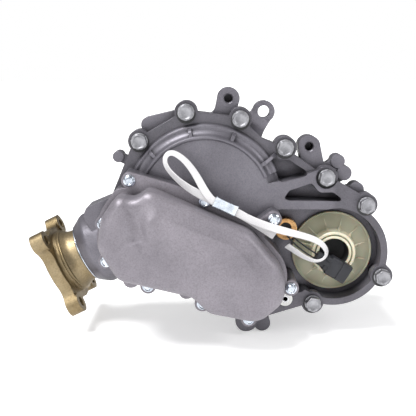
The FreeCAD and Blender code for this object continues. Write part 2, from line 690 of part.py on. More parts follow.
def make_front_case():
    base = plate(case_faces(), flange_face_y, split_y)
    dome = revolve_y([(0, split_y, 0), (dome_base_radius + 3.0, split_y, 0),
                      (dome_base_radius + 3.0, flange_face_y, 0),
                      (dome_base_radius, flange_face_y, 5.0), (dome_top_radius, dome_face_y, 2.5),
                      (0, dome_face_y, 0)], ring_axis)
    arms = prism(outline(arm_corners), dome_face_y, split_y)
    slope = Part.Face(Part.makePolygon([
        Vector(-66, dome_face_y, -60), Vector(6, flange_face_y, -60),
        Vector(80, flange_face_y, -60), Vector(80, dome_face_y - 10, -60),
        Vector(-66, dome_face_y - 10, -60), Vector(-66, dome_face_y, -60)]))
    arms = arms.cut(slope.extrude(Vector(0, 0, 240)))
    ribs = []
    for (_, angle), reach in zip(dome_bolts, (3.0, 3.0, 3.0, 12.0)):
        end = dome_base_radius + reach
        wire = rounded_wire([
            (dome_top_radius - 6.0, flange_face_y, 0), (dome_top_radius - 6.0, dome_face_y, 0),
            (dome_top_radius + 8.0, dome_face_y + 1.0, 3.0), (end, flange_face_y, 0)],
            lambda p: Vector(p[0], p[1], 0))
        rib = Part.Face(wire).extrude(Vector(0, 0, dome_rib_thick))
        rib.translate(Vector(0, 0, -dome_rib_thick / 2))
        rib.rotate(Vector(0, 0, 0), Vector(0, 1, 0), -angle)
        rib.translate(at_y(ring_axis))
        ribs.append(rib)
    pad = plate(cover_faces(), cover_seat_y, split_y)
    bearing_end = input_front_bearing_y + input_bearing[2]
    boss = cyl_y(input_axis, input_bearing[1] + wall_thick, recess_floor_y, bearing_end)
    idler_boss = cyl_y(idler_axis, idler_shaft_radius + 5.0, recess_floor_y, idler_front_y)
    walls = [prism(f.makeOffset2D(4.5), flange_face_y + 1, floor_back_y)
             for f in [outline(pocket_one), outline(pocket_two)]]
    recess_wall = [prism(f.makeOffset2D(5.0), flange_face_y + 1, floor_back_y)
                   for f in recess_faces()]
    bearing_boss = tube_y(ring_axis, ring_bearing[1] + 6.0, ring_bearing[1], dome_inner_y - 1.0,
                          ring_front_bearing_y + ring_bearing[2] - 1.0)
    inside = prism(inner_case_face(joint_slip), split_y - 1, idler_front_y)
    solid = fuse([part.common(inside) for part in [boss, idler_boss] + walls + recess_wall]
                 + [base, dome, arms, pad] + ribs
                 + [part.common(prism(disc(input_axis, 2.0 * bore_rail_radius), bulge_y, split_y))
                    for part in recess_wall])

    cavity_end = floor_back_y + 2.0
    ring_space = revolve_y([
        (0, cavity_end, 0), (ring_space_radius, cavity_end, 0),
        (ring_space_radius, dome_inner_y + 5.0, 0), (ring_space_radius - 6.0, dome_inner_y, 0),
        (0, dome_inner_y, 0)], ring_axis)
    ring_space = ring_space.cut(bearing_boss)
    pocket_cuts = []
    keep = cyl_y(ring_axis, dome_base_radius + 1.0, dome_face_y, cavity_end)
    for corners in (pocket_one, pocket_two):
        pocket_cuts.append(prism(outline(corners), bulge_y, recess_floor_y).cut(keep))
    recess = plate(recess_faces(), bulge_y, recess_floor_y)
    keepers = [prism(disc(p, boss_radius), flange_face_y, split_y + 1) for p in main_bolt_points]
    pad_keep = plate(cover_faces(), cover_seat_y, recess_floor_y)
    recess = cut(recess, keepers + [pad_keep])
    sump = prism(bulge_face(-wall_thick), cover_seat_y - 1, split_y + 1)
    dome_keep = cyl_y(ring_axis, dome_top_radius + 1.0, dome_face_y, split_y + 2)
    right_keep = prism(outline([(-80, 60, 0), (0, 60, 0), (0, -60, 0), (-66, -60, 0),
                                (-76, 0, 10)]), recess_floor_y - 15.0, split_y + 2)
    sump = cut(sump, [dome_keep, right_keep])
    slot_a = (ring_axis[0] + 12.0, ring_axis[1] - 4.0)
    slot_b = (ring_axis[0] + 50.0, ring_axis[1] - 23.0)
    slot = prism(link(slot_a, slot_b, 2.0), bulge_y, dome_face_y + 1.0)
    holes = [cyl_y(p, main_bolt_radius + hole_clearance, bulge_y, floor_back_y + 1)
             for p in main_bolt_points]
    holes += [cyl_y(p, main_washer_radius + 0.6, bulge_y, flange_face_y)
              for p in main_bolt_points]
    holes += [cyl_y(p, main_bolt_radius, flange_face_y + 1.5, split_y + 1)
              for p in rear_bolt_points]
    holes += [cyl_y(p, cover_bolt_radius, cover_seat_y - 1, cover_seat_y + 14.0)
              for p in cover_bolt_points]
    holes.append(cyl_y(dowel_point, dowel_radius, flange_face_y - 1, split_y + 1))
    holes.append(cyl_y(input_axis, input_bearing[1], input_front_bearing_y, bearing_end + 1))
    holes.append(cyl_y(input_axis, seal_radius, recess_floor_y - 1, bearing_end))
    holes.append(cyl_y(idler_axis, idler_shaft_radius, idler_start_y, idler_front_y + 1))
    holes.append(cyl_y(port_point, port_radius - 3.0, recess_floor_y - 1, recess_floor_y + 4.0))
    holes.append(cyl_y(port_point, 5.0, recess_floor_y, idler_start_y + 4.0))
    solid = cut(solid, [ring_space, recess, sump] + pocket_cuts + holes)
    return biggest(solid.removeSplitter())


def radial_rib(centre, angle, corners, thick):
    """Rib standing on a line at an angle about a centre; corners are (r, y, radius)."""
    wire = rounded_wire(corners, lambda p: Vector(p[0], p[1], 0))
    rib = Part.Face(wire).extrude(Vector(0, 0, thick))
    rib.translate(Vector(0, 0, -thick / 2))
    rib.rotate(Vector(0, 0, 0), Vector(0, 1, 0), -angle)
    rib.translate(at_y(centre))
    return rib


def ear_face(centre, root, radius=ear_radius):
    """Ear with a flared foot, from its hole's centre to its root on the case."""
    angle = math.degrees(math.atan2(centre[1] - root[1], centre[0] - root[0]))
    left = polar(root, 2.0 * radius, angle + 90)
    right = polar(root, 2.0 * radius, angle - 90)
    neck_left = polar(polar(root, 10.0, angle), radius - 0.5, angle + 90)
    neck_right = polar(polar(root, 10.0, angle), radius - 0.5, angle - 90)
    top_left = polar(centre, radius - 0.2, angle + 90)
    top_right = polar(centre, radius - 0.2, angle - 90)
    foot = outline([(left[0], left[1], 0), (neck_left[0], neck_left[1], 8.0),
                    (top_left[0], top_left[1], 0), (top_right[0], top_right[1], 0),
                    (neck_right[0], neck_right[1], 8.0), (right[0], right[1], 0)])
    return merged([foot, disc(centre, radius)])


def make_snout():
    """Output snout with a rounded shoulder, kept behind the front case and its cover."""
    snout = on_pinion(revolve_z([
        (0, 40.0, 0), (snout_radius, 40.0, 0), (snout_radius, snout_end - snout_shoulder, 9.0),
        (snout_end_radius, snout_end, 2.0), (0, snout_end, 0)]))
    fronts = [face.makeOffset2D(joint_slip) for face in case_faces()] + cover_faces(joint_slip)
    return snout.cut(plate(fronts, bulge_y, rear_joint_y))


def make_rear_case():
    body_back = floor_back_y + 8.0
    driven_hull = link(ring_axis, idler_axis, driven_space_radius + chamber_wall)
    input_hull = link(idler_axis, input_axis, input_space_radius + chamber_wall)
    solids = [plate(case_faces(), rear_joint_y, rear_flange_y),
              prism(merged([outline(case_corners()), disc(input_axis, bore_rail_radius)])
                    .makeOffset2D(-0.5), rear_flange_y - 1, body_back),
              cyl_y(ring_axis, dome_base_radius, rear_flange_y - 1, chamber_front_y),
              prism(driven_hull, rear_flange_y - 1, rear_wall_y),
              prism(input_hull, rear_flange_y - 1, rear_wall_y),
              make_snout(),
              cyl_y(ring_axis, ring_bearing[1] + 6.0, rear_wall_y - 1, rear_boss_y),
              cyl_y(idler_axis, idler_shaft_radius + 7.0, rear_wall_y - 1, rear_boss_y - 4.0),
              cyl_y(input_axis, input_bearing[1] + 18.0, rear_wall_y - 1, 0.0),
              cyl_y(input_axis, spigot_radius, -1.0, spigot_height),
              cyl_y(fill_point, 11.0, rear_wall_y - 1, rear_wall_y + 2.0),
              cyl_y(drain_point, 11.0, body_back - 8.0, body_back + 2.0)]
    solids += [cyl_y(p, mount_boss_radius, mount_boss_y, 0.0) for p in mount_points]
    solids += [cyl_y(p, boss_radius - 2.0, rear_flange_y - 1, rear_flange_y + 10.0)
               for p in main_bolt_points]
    for (radius, angle) in dome_bolts:
        solids.append(radial_rib(ring_axis, angle, [
            (dome_base_radius - 5.0, rear_flange_y - 1, 0), (radius - 7.0, rear_flange_y - 1, 0),
            (dome_base_radius + 1.0, chamber_front_y - 8.0, 6.0),
            (dome_base_radius - 5.0, chamber_front_y - 8.0, 0)], 6.0))
    root_a = polar(ring_axis, ear_a_polar[0] - 26.0, ear_a_polar[1])
    root_c = polar(input_axis, ear_c_polar[0] - 31.0, ear_c_polar[1])
    solids += [prism(ear_face(centre, root), ear_front_y, ear_front_y + ear_thick)
               for centre, root in ((ear_a, root_a), (ear_c, root_c))]
    solids.append(make_lifting_lug())
    for x, z, radius in side_lobes:
        solids.append(cyl_y((x, z), radius, ear_front_y + 2.0, rear_flange_y + 8.0))
        inward = math.degrees(math.atan2(case_middle[1] - z, case_middle[0] - x))
        solids.append(prism(link((x, z), polar((x, z), 20.0, inward), radius - 1.5),
                            ear_front_y + 3.0, rear_flange_y + 4.0))
    solids.append(prism(link(top_lug[0], top_lug[1], 8.0), ear_front_y, rear_flange_y + 8.0))
    solids.append(prism(outline(snout_ledge), ear_front_y, pinion_y))
    solid = fuse(solids)

    spot_radius = main_washer_radius + 0.6
    keep = [cyl_y(p, spot_radius + 4.0, rear_joint_y - 2, body_back) for p in rear_bolt_points]
    bearing_deep = rear_bearing_y + ring_bearing[2]
    hollow = [prism(inner_case_face(), rear_joint_y - 1, floor_back_y + 2.0).cut(keep),
              cyl_y(ring_axis, bevel_space_radius, rear_joint_y - 1, bevel_space_end),
              prism(link(ring_axis, idler_axis, driven_space_radius), rear_joint_y - 1,
                    chamber_rear_y),
              prism(link(idler_axis, input_axis, input_space_radius), rear_joint_y - 1,
                    chamber_rear_y),
              cyl_y(ring_axis, ring_bearing[1], chamber_rear_y - 1, bearing_deep),
              cyl_y(input_axis, input_bearing[1], chamber_rear_y - 1, bearing_deep),
              cyl_y(input_axis, rear_seal_radius, chamber_rear_y, spigot_height + 1.0),
              cyl_y(idler_axis, idler_shaft_radius, chamber_rear_y - 1, idler_end_y),
              on_pinion(cyl_z(pinion_inner_bearing[1], 30.0, pinion_inner_end)),
              on_pinion(cyl_z(pinion_inner_bearing[1] - 4.0, 60.0, pinion_outer_start + 1)),
              on_pinion(cyl_z(pinion_outer_bearing[1], pinion_outer_start, snout_end + 1)),
              on_pinion(cyl_z(output_seal_radius, seal_start, snout_end + 1))]
    hollow += [cyl_y(p, main_bolt_radius, rear_joint_y - 1, rear_joint_y + main_thread)
               for p in main_bolt_points]
    hollow += [cyl_y(p, main_bolt_radius + hole_clearance, rear_joint_y - 1, rear_flange_y + 20.0)
               for p in rear_bolt_points]
    hollow += [cyl_y(p, spot_radius, rear_flange_y, body_back + 20.0) for p in rear_bolt_points]
    hollow.append(cyl_y(dowel_point, dowel_radius, rear_joint_y - 1, rear_joint_y + 8.0))
    hollow += [cyl_y(p, mount_hole_radius, -mount_hole_depth, 1.0) for p in mount_points]
    for p in (ear_a, ear_c):
        hollow.append(cyl_y(p, ear_hole_radius, ear_front_y - 1, ear_front_y + ear_depth))
        hollow.append(Part.makeCone(ear_hole_radius + 1.2, ear_hole_radius, 1.2,
                                    at_y(p, ear_front_y), Vector(0, 1, 0)))
    hollow.append(cyl_y(lug_b, lug_hole_radius, lug_face_y - 1, lug_face_y + lug_thick + 1))
    hollow.append(cyl_y(fill_point, plug_thread_radius, chamber_rear_y - 1, rear_wall_y + 3.0))
    hollow.append(cyl_y(drain_point, plug_thread_radius, body_back - 10.0, body_back + 3.0))
    return biggest(cut(solid, hollow).removeSplitter())


def make_lifting_lug():
    """Through-hole lug set back from the joint, on a web with a hollow front."""
    reach, angle = lug_polar
    back = lug_face_y + lug_thick
    web = radial_rib(ring_axis, angle, [
        (dome_base_radius - 2.0, ear_front_y, 0), (dome_base_radius + 9.0, ear_front_y, 2),
        (reach - 17.0, lug_face_y - 6.0, 12), (reach - 6.0, lug_face_y, 6),
        (reach, lug_face_y, 0), (reach, back, 0), (dome_base_radius - 2.0, back, 0)],
        2 * ear_radius - 1.0)
    return fuse([web, cyl_y(lug_b, ear_radius, lug_face_y, back)])


def make_case_gasket():
    face = merged(case_faces())
    sheet = prism(face, split_y, rear_joint_y)
    inner = prism(inner_case_face(), split_y - 1, rear_joint_y + 1)
    holes = [cyl_y(p, main_bolt_radius + 0.5, split_y - 1, rear_joint_y + 1)
             for p in main_bolt_points + rear_bolt_points]
    holes.append(cyl_y(dowel_point, dowel_radius + 0.1, split_y - 1, rear_joint_y + 1))
    return biggest(cut(sheet, [inner] + holes))


def make_cover_gasket():
    sheet = plate(cover_faces(-0.6), cover_back_y, cover_seat_y)
    inner = prism(bulge_face(-wall_thick), cover_back_y - 1, cover_seat_y + 1)
    holes = [cyl_y(p, cover_bolt_radius + 0.3, cover_back_y - 1, cover_seat_y + 1)
             for p in cover_bolt_points]
    return biggest(cut(sheet, [inner] + holes))


def make_side_cover():
    bulge = prism(bulge_face(), bulge_y, cover_back_y)
    rim = [e for e in bulge.Edges
           if abs(e.BoundBox.YMax - bulge_y) < 0.01 and e.BoundBox.YLength < 0.01]
    bulge = bulge.makeFillet(cover_edge_radius, rim)
    flange = plate(cover_faces(), cover_face_y, cover_back_y)
    hollow = prism(bulge_face(-cover_wall), bulge_y + cover_wall, cover_back_y + 1)
    rim = [e for e in hollow.Edges
           if abs(e.BoundBox.YMax - bulge_y - cover_wall) < 0.01 and e.BoundBox.YLength < 0.01]
    hollow = hollow.makeFillet(cover_edge_radius - cover_wall, rim)
    holes = [cyl_y(p, cover_bolt_radius + 0.3, bulge_y, cover_back_y + 1)
             for p in cover_bolt_points]
    spot = [cyl_y(p, cover_washer_radius + 0.6, cover_face_y - 12.0, cover_face_y)
            for p in cover_bolt_points]
    return biggest(cut(fuse([bulge, flange]), [hollow] + holes + spot).removeSplitter())


def flange_bolt(point, seat_y, sign, shank, washer, flats, head, length):
    """Hexagon flange bolt; sign is +1 when its shank runs to the rear."""
    def span(a, b):
        low, high = sorted((seat_y + sign * a, seat_y + sign * b))
        return low, high
    parts = [cyl_y(point, washer, *span(-0.24 * head, 0.0)),
             hex_prism(flats, point, *span(-head, 0.0), 12.0),
             cyl_y(point, shank, *span(-1.0, length))]
    return fuse(parts)


def make_bevel_shaft_parts():
    """Ring shaft with its driven gear and bearings."""
    bore = ring_shaft_radius
    seat = ring_bearing[0]
    front = ring_front_bearing_y
    hub_front = pinion_y - ring_hub_height
    collar = hub_front + 15.0
    hub = (spur_y - 2.0, spur_y + spur_width + 2.0)
    end = rear_bearing_y + ring_bearing[2]
    shaft = revolve_y([
        (0, front, 0), (seat, front, 1), (seat, hub_front - 0.2, 0), (bore, hub_front - 0.2, 0),
        (bore, collar, 0), (bore + 4.0, collar, 1), (bore + 4.0, collar + 6.0, 1),
        (bore, collar + 6.0, 0), (bore, rear_bearing_y - 0.4, 0.5), (seat, rear_bearing_y - 0.4, 0),
        (seat, end, 1), (0, end, 0)], ring_axis)
    gear = spur_gear(driven_teeth, ring_axis, driven_phase, spur_y, spur_width)
    gear = fuse([gear, cyl_y(ring_axis, bore + 10.0, *hub)])
    gear = gear.cut(cyl_y(ring_axis, bore + seat_gap, hub[0] - 1, hub[1] + 1))
    windows = [cyl_y(polar(ring_axis, 0.5 * (bore + spur_driven_radius + 3.0), 60.0 * i), 4.5,
                     hub[0], hub[1]) for i in range(6)]
    return shaft, cut(gear, windows)


def make_input_parts():
    bore, seat = input_bore_radius, input_bearing[0]
    front_end = input_front_bearing_y + input_bearing[2] + 0.4
    hub = (spur_y - 2.0, spur_y + spur_width + 2.0)
    shaft = revolve_y([
        (bore, input_shaft_front, 1), (seat, input_shaft_front, 1), (seat, front_end, 0),
        (input_gear_seat + 1.5, front_end, 1), (input_gear_seat + 1.5, hub[0], 0),
        (input_gear_seat, hub[0], 0), (input_gear_seat, rear_bearing_y - 0.4, 0.5),
        (seat, rear_bearing_y - 0.4, 0), (seat, input_shaft_rear, 1),
        (bore, input_shaft_rear, 1)], input_axis)
    gear = spur_gear(input_teeth, input_axis, train_angle, spur_y, spur_width)
    gear = fuse([gear, cyl_y(input_axis, input_gear_seat + 6.0, *hub)])
    gear = gear.cut(cyl_y(input_axis, input_gear_seat + seat_gap, hub[0] - 1, hub[1] + 1))
    return shaft, gear


def make_idler_parts():
    hub = (spur_y - 2.0, spur_y + spur_width + 2.0)
    gear = spur_gear(idler_teeth, idler_axis, idler_phase, spur_y, spur_width)
    gear = fuse([gear, cyl_y(idler_axis, needle_outer_radius + 4.0, *hub)])
    gear = gear.cut(cyl_y(idler_axis, needle_outer_radius + seat_gap, hub[0] - 1, hub[1] + 1))
    cage = tube_y(idler_axis, needle_outer_radius, idler_shaft_radius + 0.08, *hub)
    shaft = revolve_y([
        (0, idler_start_y, 0), (idler_shaft_radius, idler_start_y, 1),
        (idler_shaft_radius, idler_end_y, 1), (0, idler_end_y, 0)], idler_axis)
    return gear, cage, shaft


def make_input_plug():
    """Transit plug over the input bore: a dished disc with a ribbed collar."""
    floor = recess_floor_y
    lip = floor - plug_height
    body = revolve_y([
        (plug_hole_radius, lip, 0.8), (plug_hole_radius + 2.4, lip, 0.8),
        (plug_hole_radius + 2.8, lip + 4.0, 0), (plug_collar_radius - 3.4, lip + 4.0, 0),
        (plug_collar_radius - 3.0, lip + 1.0, 0.8), (plug_collar_radius, lip + 1.0, 1.2),
        (plug_collar_radius + 0.8, floor - 8.0, 1), (plug_radius - 2.0, floor - 4.0, 0),
        (plug_radius, floor - 5.0, 0.6), (plug_radius, floor, 0.4),
        (plug_hole_radius, floor, 0)], input_axis)
    ribs = [radial_rib(input_axis, 15.0 + 360.0 * i / plug_rib_count, [
        (plug_collar_radius - 1.0, floor - 4.0, 0), (plug_collar_radius - 1.0, lip + 2.5, 0),
        (plug_collar_radius + 1.5, lip + 3.5, 0), (plug_collar_radius + 9.0, floor - 4.5, 0)],
        1.2) for i in range(plug_rib_count)]
    return fuse([body] + ribs)


def make_output_flange():
    """Companion flange: splined hub, flared neck and a plate with hollow-sided bolt lugs."""
    bead = neck_root_radius + bead_height
    hub = revolve_z([
        (spline_radius + seat_gap, flange_hub_start, 0.5), (hub_radius, flange_hub_start, 1),
        (hub_radius, snout_end + 1.4, 0), (neck_radius, snout_end + 2.6, 1.5),
        (neck_radius + 0.8, flange_back - 12.0, 14.0), (neck_root_radius, flange_back - 5.6, 1.0),
        (bead, flange_back - 4.9, 0.6), (bead, flange_back - 3.3, 0.6),
        (neck_root_radius, flange_back - 2.6, 0.5), (bead, flange_back - 1.9, 0.6),
        (bead, flange_front, 0), (hub_radius, flange_front, 1), (hub_radius, nut_seat, 0),
        (spline_radius + seat_gap, nut_seat, 0)])
    step = 360.0 / flange_lug_count
    centres = [polar((0, 0), flange_bolt_circle / 2, -flange_phase - step * i)
               for i in range(flange_lug_count)]
    face = merged([disc((0, 0), flange_disc_radius)]
                  + [link((0, 0), p, flange_lug_radius) for p in centres])
    face = face.makeOffset2D(flange_hollow).makeOffset2D(-flange_hollow)
    bodies = [prism(face, plate_step, flange_thick).cut(cyl_y((0, 0), hub_radius + 5.0, 0,
                                                              flange_thick + 1.0))]
    bodies += [cyl_y(p, flange_lug_radius, 0.0, flange_thick) for p in centres]
    holes = [cyl_y(p, flange_hole_radius, -1.0, flange_thick + 1.0) for p in centres]
    flange = cut(fuse(bodies), holes)
    flange.rotate(Vector(0, 0, 0), Vector(1, 0, 0), 90)
    flange.translate(Vector(0, 0, flange_back))
    return on_pinion(fuse([hub, flange]))


def make_pinion_nut():
    corner = nut_flats / 2 / cos_deg(30)
    points = [Vector(corner * cos_deg(60 * i), corner * sin_deg(60 * i), nut_seat + nut_washer)
              for i in range(7)]
    nut = Part.Face(Part.makePolygon(points)).extrude(Vector(0, 0, nut_height))
    washer = cyl_z(nut_flats / 2 + 2.0, nut_seat + seat_gap, nut_seat + nut_washer + 0.5)
    return fuse([nut, washer]).cut(cyl_z(thread_radius + seat_gap, nut_seat - 1, shaft_end))


def make_ribbon(route):
    """Flat strap through (x, y, z, roll) points; roll 0 lies flat, 90 stands on edge."""
    centres = [Vector(x, y, z) for x, y, z, _ in route]
    wires = []
    for i, (_, _, _, roll) in enumerate(route):
        ahead = centres[min(i + 1, len(route) - 1)] - centres[max(i - 1, 0)]
        ahead.normalize()
        side = ahead.cross(Vector(0, 1, 0))
        side.normalize()
        up = side.cross(ahead)
        across = side * cos_deg(roll) + up * sin_deg(roll)
        thick = ahead.cross(across)
        a = across * (strap_width / 2)
        b = thick * (strap_thick / 2)
        centre = centres[i]
        corners = [centre + a + b, centre - a + b, centre - a - b, centre + a - b]
        wires.append(Part.makePolygon(corners + corners[:1]))
    return Part.makeLoft(wires, True, True)


def make_lead(points):
    """Round lead: straight runs joined by tangent arcs."""
    points = [Vector(*p) for p in points]
    radius = lead_radius
    edges = []
    last = points[0]
    for i in range(1, len(points) - 1):
        back = points[i - 1] - points[i]
        ahead = points[i + 1] - points[i]
        shorter = min(back.Length, ahead.Length)
        half_turn = (math.pi - back.getAngle(ahead)) / 2
        bend = 0.45 * shorter / math.tan(half_turn)
        print("lead bend radius", round(bend, 1))
        back.normalize()
        ahead.normalize()
        start = points[i] + back * 0.45 * shorter
        end = points[i] + ahead * 0.45 * shorter
        inward = back + ahead
        inward.normalize()
        middle = points[i] + inward * (bend / math.cos(half_turn) - bend)
        edges.append(Part.LineSegment(last, start).toShape())
        edges.append(Part.Arc(start, middle, end).toShape())
        last = end
    edges.append(Part.LineSegment(last, points[-1]).toShape())
    path = Part.Wire(edges)
    start_dir = points[1] - points[0]
    profile = Part.Wire(Part.Circle(points[0], start_dir, radius).toShape())
    tube = path.makePipeShell([profile], True, False)
    print("lead length", round(path.Length, 1), "volume ratio",
          round(tube.Volume / (path.Length * math.pi * radius ** 2), 4))
    return tube


def make_connector():
    """Two-way plug connector: latch neck and wider shroud, leaning down to the right."""
    thick = connector_thick
    neck = Part.makeBox(17.0, thick - 3.0, 13.0, Vector(0, 1.5, -6.5))
    latch = Part.makeBox(12.0, 3.0, 5.0, Vector(4.0, -1.0, -2.5))
    shroud = Part.makeBox(24.0, thick, 21.0, Vector(15.0, 0, -10.5))
    step = Part.makeBox(5.0, thick - 1.0, 17.0, Vector(12.0, 0.5, -8.5))
    body = fuse([neck, latch, shroud, step])
    mouth = Part.makeBox(12.0, thick - 4.0, 17.0, Vector(28.0, 2.0, -8.5))
    body = body.cut(mouth)
    body.rotate(Vector(0, 0, 0), Vector(0, 1, 0), connector_angle)
    body.translate(Vector(connector_point[0], connector_back_y - thick, connector_point[1]))
    return body


def make_strap_seal():
    """Folded metal seal crimped round both layers of the strap."""
    length, height = 24.0, strap_width + 3.0
    depth = 2 * strap_thick + strap_gap + 2 * 0.3
    sleeve = Part.makeBox(length, depth + 2.4, height, Vector(-length / 2, -1.2 - depth / 2,
                                                               -height / 2))
    window = Part.makeBox(length + 2, depth, strap_width + 0.6,
                          Vector(-length / 2 - 1, -depth / 2, -strap_width / 2 - 0.3))
    body = sleeve.cut(window)
    body.rotate(Vector(0, 0, 0), Vector(0, 1, 0), -strap_angle)
    middle_y = strap_y - (strap_thick + strap_gap) / 2
    body.translate(Vector(strap_seal_point[0], middle_y, strap_seal_point[1]))
    return body


def threaded_plug(point, face_y, length):
    """Hexagon plug with a flange, screwed in towards the front."""
    return fuse([cyl_y(point, plug_thread_radius + 3.0, face_y, face_y + 2.5),
                 hex_prism(17.0, point, face_y, face_y + 8.0),
                 cyl_y(point, plug_thread_radius - 0.02, face_y - length, face_y + 1.0)])


# Phases that bring the teeth into mesh at rest.
def mesh_phase(driver_phase, driver_teeth, driver_pitch_angle, teeth):
    """Angle of a tooth of the driven gear so that a space faces the driver's tooth."""
    offset = (driver_phase - driver_pitch_angle) * driver_teeth / teeth
    return driver_pitch_angle + 180.0 + 180.0 / teeth - offset


idler_phase = mesh_phase(train_angle, input_teeth, train_angle, idler_teeth)
driven_phase = mesh_phase(idler_phase, idler_teeth, train_angle, driven_teeth)


def main():
    export("front_case", make_front_case())
    export("rear_case", make_rear_case())
    export("side_cover", make_side_cover())
    export("case_gasket", make_case_gasket())
    export("cover_gasket", make_cover_gasket())
    export("case_bolts", group([
        flange_bolt(p, flange_face_y, 1, main_bolt_radius - 0.05, main_washer_radius, main_flats,
                    main_head, front_flange_thick + gasket_thick + main_thread - 3.0)
        for p in main_bolt_points]))
    export("rear_case_bolts", group([
        flange_bolt(p, rear_flange_y, -1, main_bolt_radius - 0.05, main_washer_radius, main_flats,
                    main_head, rear_flange_thick + gasket_thick + 5.0)
        for p in rear_bolt_points]))
    export("cover_bolts", group([
        flange_bolt(p, cover_face_y, 1, cover_bolt_radius - 0.05, cover_washer_radius,
                    cover_flats, cover_head, cover_flange_thick + 12.0)
        for p in cover_bolt_points]))
    export("case_dowel", tube_y(dowel_point, dowel_radius - 0.01, dowel_radius - 1.4,
                                flange_face_y - 2.0, rear_joint_y + 7.0))
    export("ring_gear", make_ring_gear())
    shaft, gear = make_bevel_shaft_parts()
    export("ring_shaft", shaft)
    export("driven_gear", gear)
    shaft, gear = make_input_parts()
    export("input_shaft", shaft)
    export("input_gear", gear)
    gear, cage, shaft = make_idler_parts()
    export("idler_gear", gear)
    export("idler_needle_cage", cage)
    export("idler_shaft", shaft)
    for name, size, centre, start in (
            ("ring_front_bearing", ring_bearing, ring_axis, ring_front_bearing_y),
            ("ring_rear_bearing", ring_bearing, ring_axis, rear_bearing_y),
            ("input_front_bearing", input_bearing, input_axis, input_front_bearing_y),
            ("input_rear_bearing", input_bearing, input_axis, rear_bearing_y)):
        outer, inner = ball_bearing(size, centre, start)
        export(name + "_outer", outer)
        export(name + "_inner", inner)
    for name, size, start, flip in (
            ("pinion_head_bearing", pinion_inner_bearing, pinion_inner_start, True),
            ("pinion_tail_bearing", pinion_outer_bearing, pinion_outer_start, False)):
        outer, inner = tapered_bearing(size, start, flip)
        export(name + "_outer", on_pinion(outer))
        export(name + "_inner", on_pinion(inner))
    export("pinion", make_pinion())
    export("crush_sleeve", on_pinion(tube_z(
        pinion_outer_bearing[0] + 7.0, pinion_inner_bearing[0] + 0.2,
        pinion_inner_end + 0.05, pinion_outer_start - 0.05)))
    export("output_flange", make_output_flange())
    export("pinion_nut", on_pinion(make_pinion_nut()))
    export("dust_deflector", on_pinion(tube_z(neck_radius + 3.6, hub_radius + seat_gap,
                                              snout_end + 0.4, snout_end + 1.35)))
    export("output_seal", on_pinion(revolve_z([
        (hub_radius + running_gap, seal_start, 0), (output_seal_radius - 0.02, seal_start, 0.5),
        (output_seal_radius - 0.02, snout_end - 0.6, 0.5),
        (hub_radius + running_gap, snout_end - 0.6, 0)])))
    export("input_front_seal", tube_y(input_axis, seal_radius - 0.02,
                                      input_bearing[0] + running_gap, recess_floor_y + 0.2,
                                      input_front_bearing_y - 0.2))
    export("input_rear_seal", tube_y(input_axis, seal_radius + 1.98,
                                     input_bearing[0] + running_gap,
                                     rear_bearing_y + input_bearing[2] + 0.2, spigot_height - 2.0))
    export("input_plug", make_input_plug())
    port_front = recess_floor_y - port_height
    export("port_ring", revolve_y([
        (port_radius - 3.0, recess_floor_y, 0), (port_radius, recess_floor_y, 0),
        (port_radius, port_front, 1), (port_radius - 1.6, port_front, 0),
        (port_radius - 1.6, port_front + 2.0, 0), (port_radius - 3.0, port_front + 2.0, 0)],
        port_point))
    export("lead_grommet", cyl_y(port_point, port_radius - 5.52, grommet_y, recess_floor_y + 3.0))
    export("port_sleeve", tube_y(port_point, port_radius - 3.02, port_radius - 5.5,
                                 port_front + 3.0, recess_floor_y + 3.9))
    export("dowel_ring", tube_y(dowel_point, dowel_ring_radius, dowel_radius + 0.02,
                                flange_face_y - 1.8, flange_face_y))
    export("fill_plug", threaded_plug(fill_point, rear_wall_y + 2.0, 9.0))
    export("drain_plug", threaded_plug(drain_point, floor_back_y + 10.0, 9.0))
    export("woven_strap", make_ribbon(strap_route))
    export("strap_seal", make_strap_seal())
    for i, route in enumerate(lead_routes):
        export("lead_" + "ab"[i], make_lead(route))
    export("lead_connector", make_connector())


main()
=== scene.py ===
import json
import math

import bpy
import numpy as np
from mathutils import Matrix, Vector


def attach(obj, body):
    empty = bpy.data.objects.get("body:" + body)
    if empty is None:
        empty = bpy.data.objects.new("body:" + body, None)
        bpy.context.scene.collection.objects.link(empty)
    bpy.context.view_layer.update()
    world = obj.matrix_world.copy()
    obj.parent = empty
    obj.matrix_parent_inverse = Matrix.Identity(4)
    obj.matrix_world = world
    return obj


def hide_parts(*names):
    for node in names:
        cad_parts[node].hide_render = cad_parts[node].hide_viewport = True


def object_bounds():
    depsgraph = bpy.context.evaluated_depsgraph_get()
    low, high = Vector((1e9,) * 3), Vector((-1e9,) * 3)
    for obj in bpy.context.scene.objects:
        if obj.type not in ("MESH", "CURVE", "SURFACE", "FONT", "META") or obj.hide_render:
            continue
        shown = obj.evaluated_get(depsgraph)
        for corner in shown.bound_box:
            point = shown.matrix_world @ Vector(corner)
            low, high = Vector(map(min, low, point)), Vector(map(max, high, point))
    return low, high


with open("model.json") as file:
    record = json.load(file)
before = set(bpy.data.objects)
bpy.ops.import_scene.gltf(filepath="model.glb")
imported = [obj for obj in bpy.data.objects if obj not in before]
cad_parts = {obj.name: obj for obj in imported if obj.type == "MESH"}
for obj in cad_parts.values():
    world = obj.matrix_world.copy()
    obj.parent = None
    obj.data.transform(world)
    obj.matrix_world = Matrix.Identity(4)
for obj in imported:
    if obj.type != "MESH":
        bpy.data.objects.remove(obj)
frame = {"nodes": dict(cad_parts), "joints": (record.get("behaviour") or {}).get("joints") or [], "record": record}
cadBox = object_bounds()
cad = frame["nodes"]
mm = 0.001
print("frame loaded:", len(cad), "nodes")

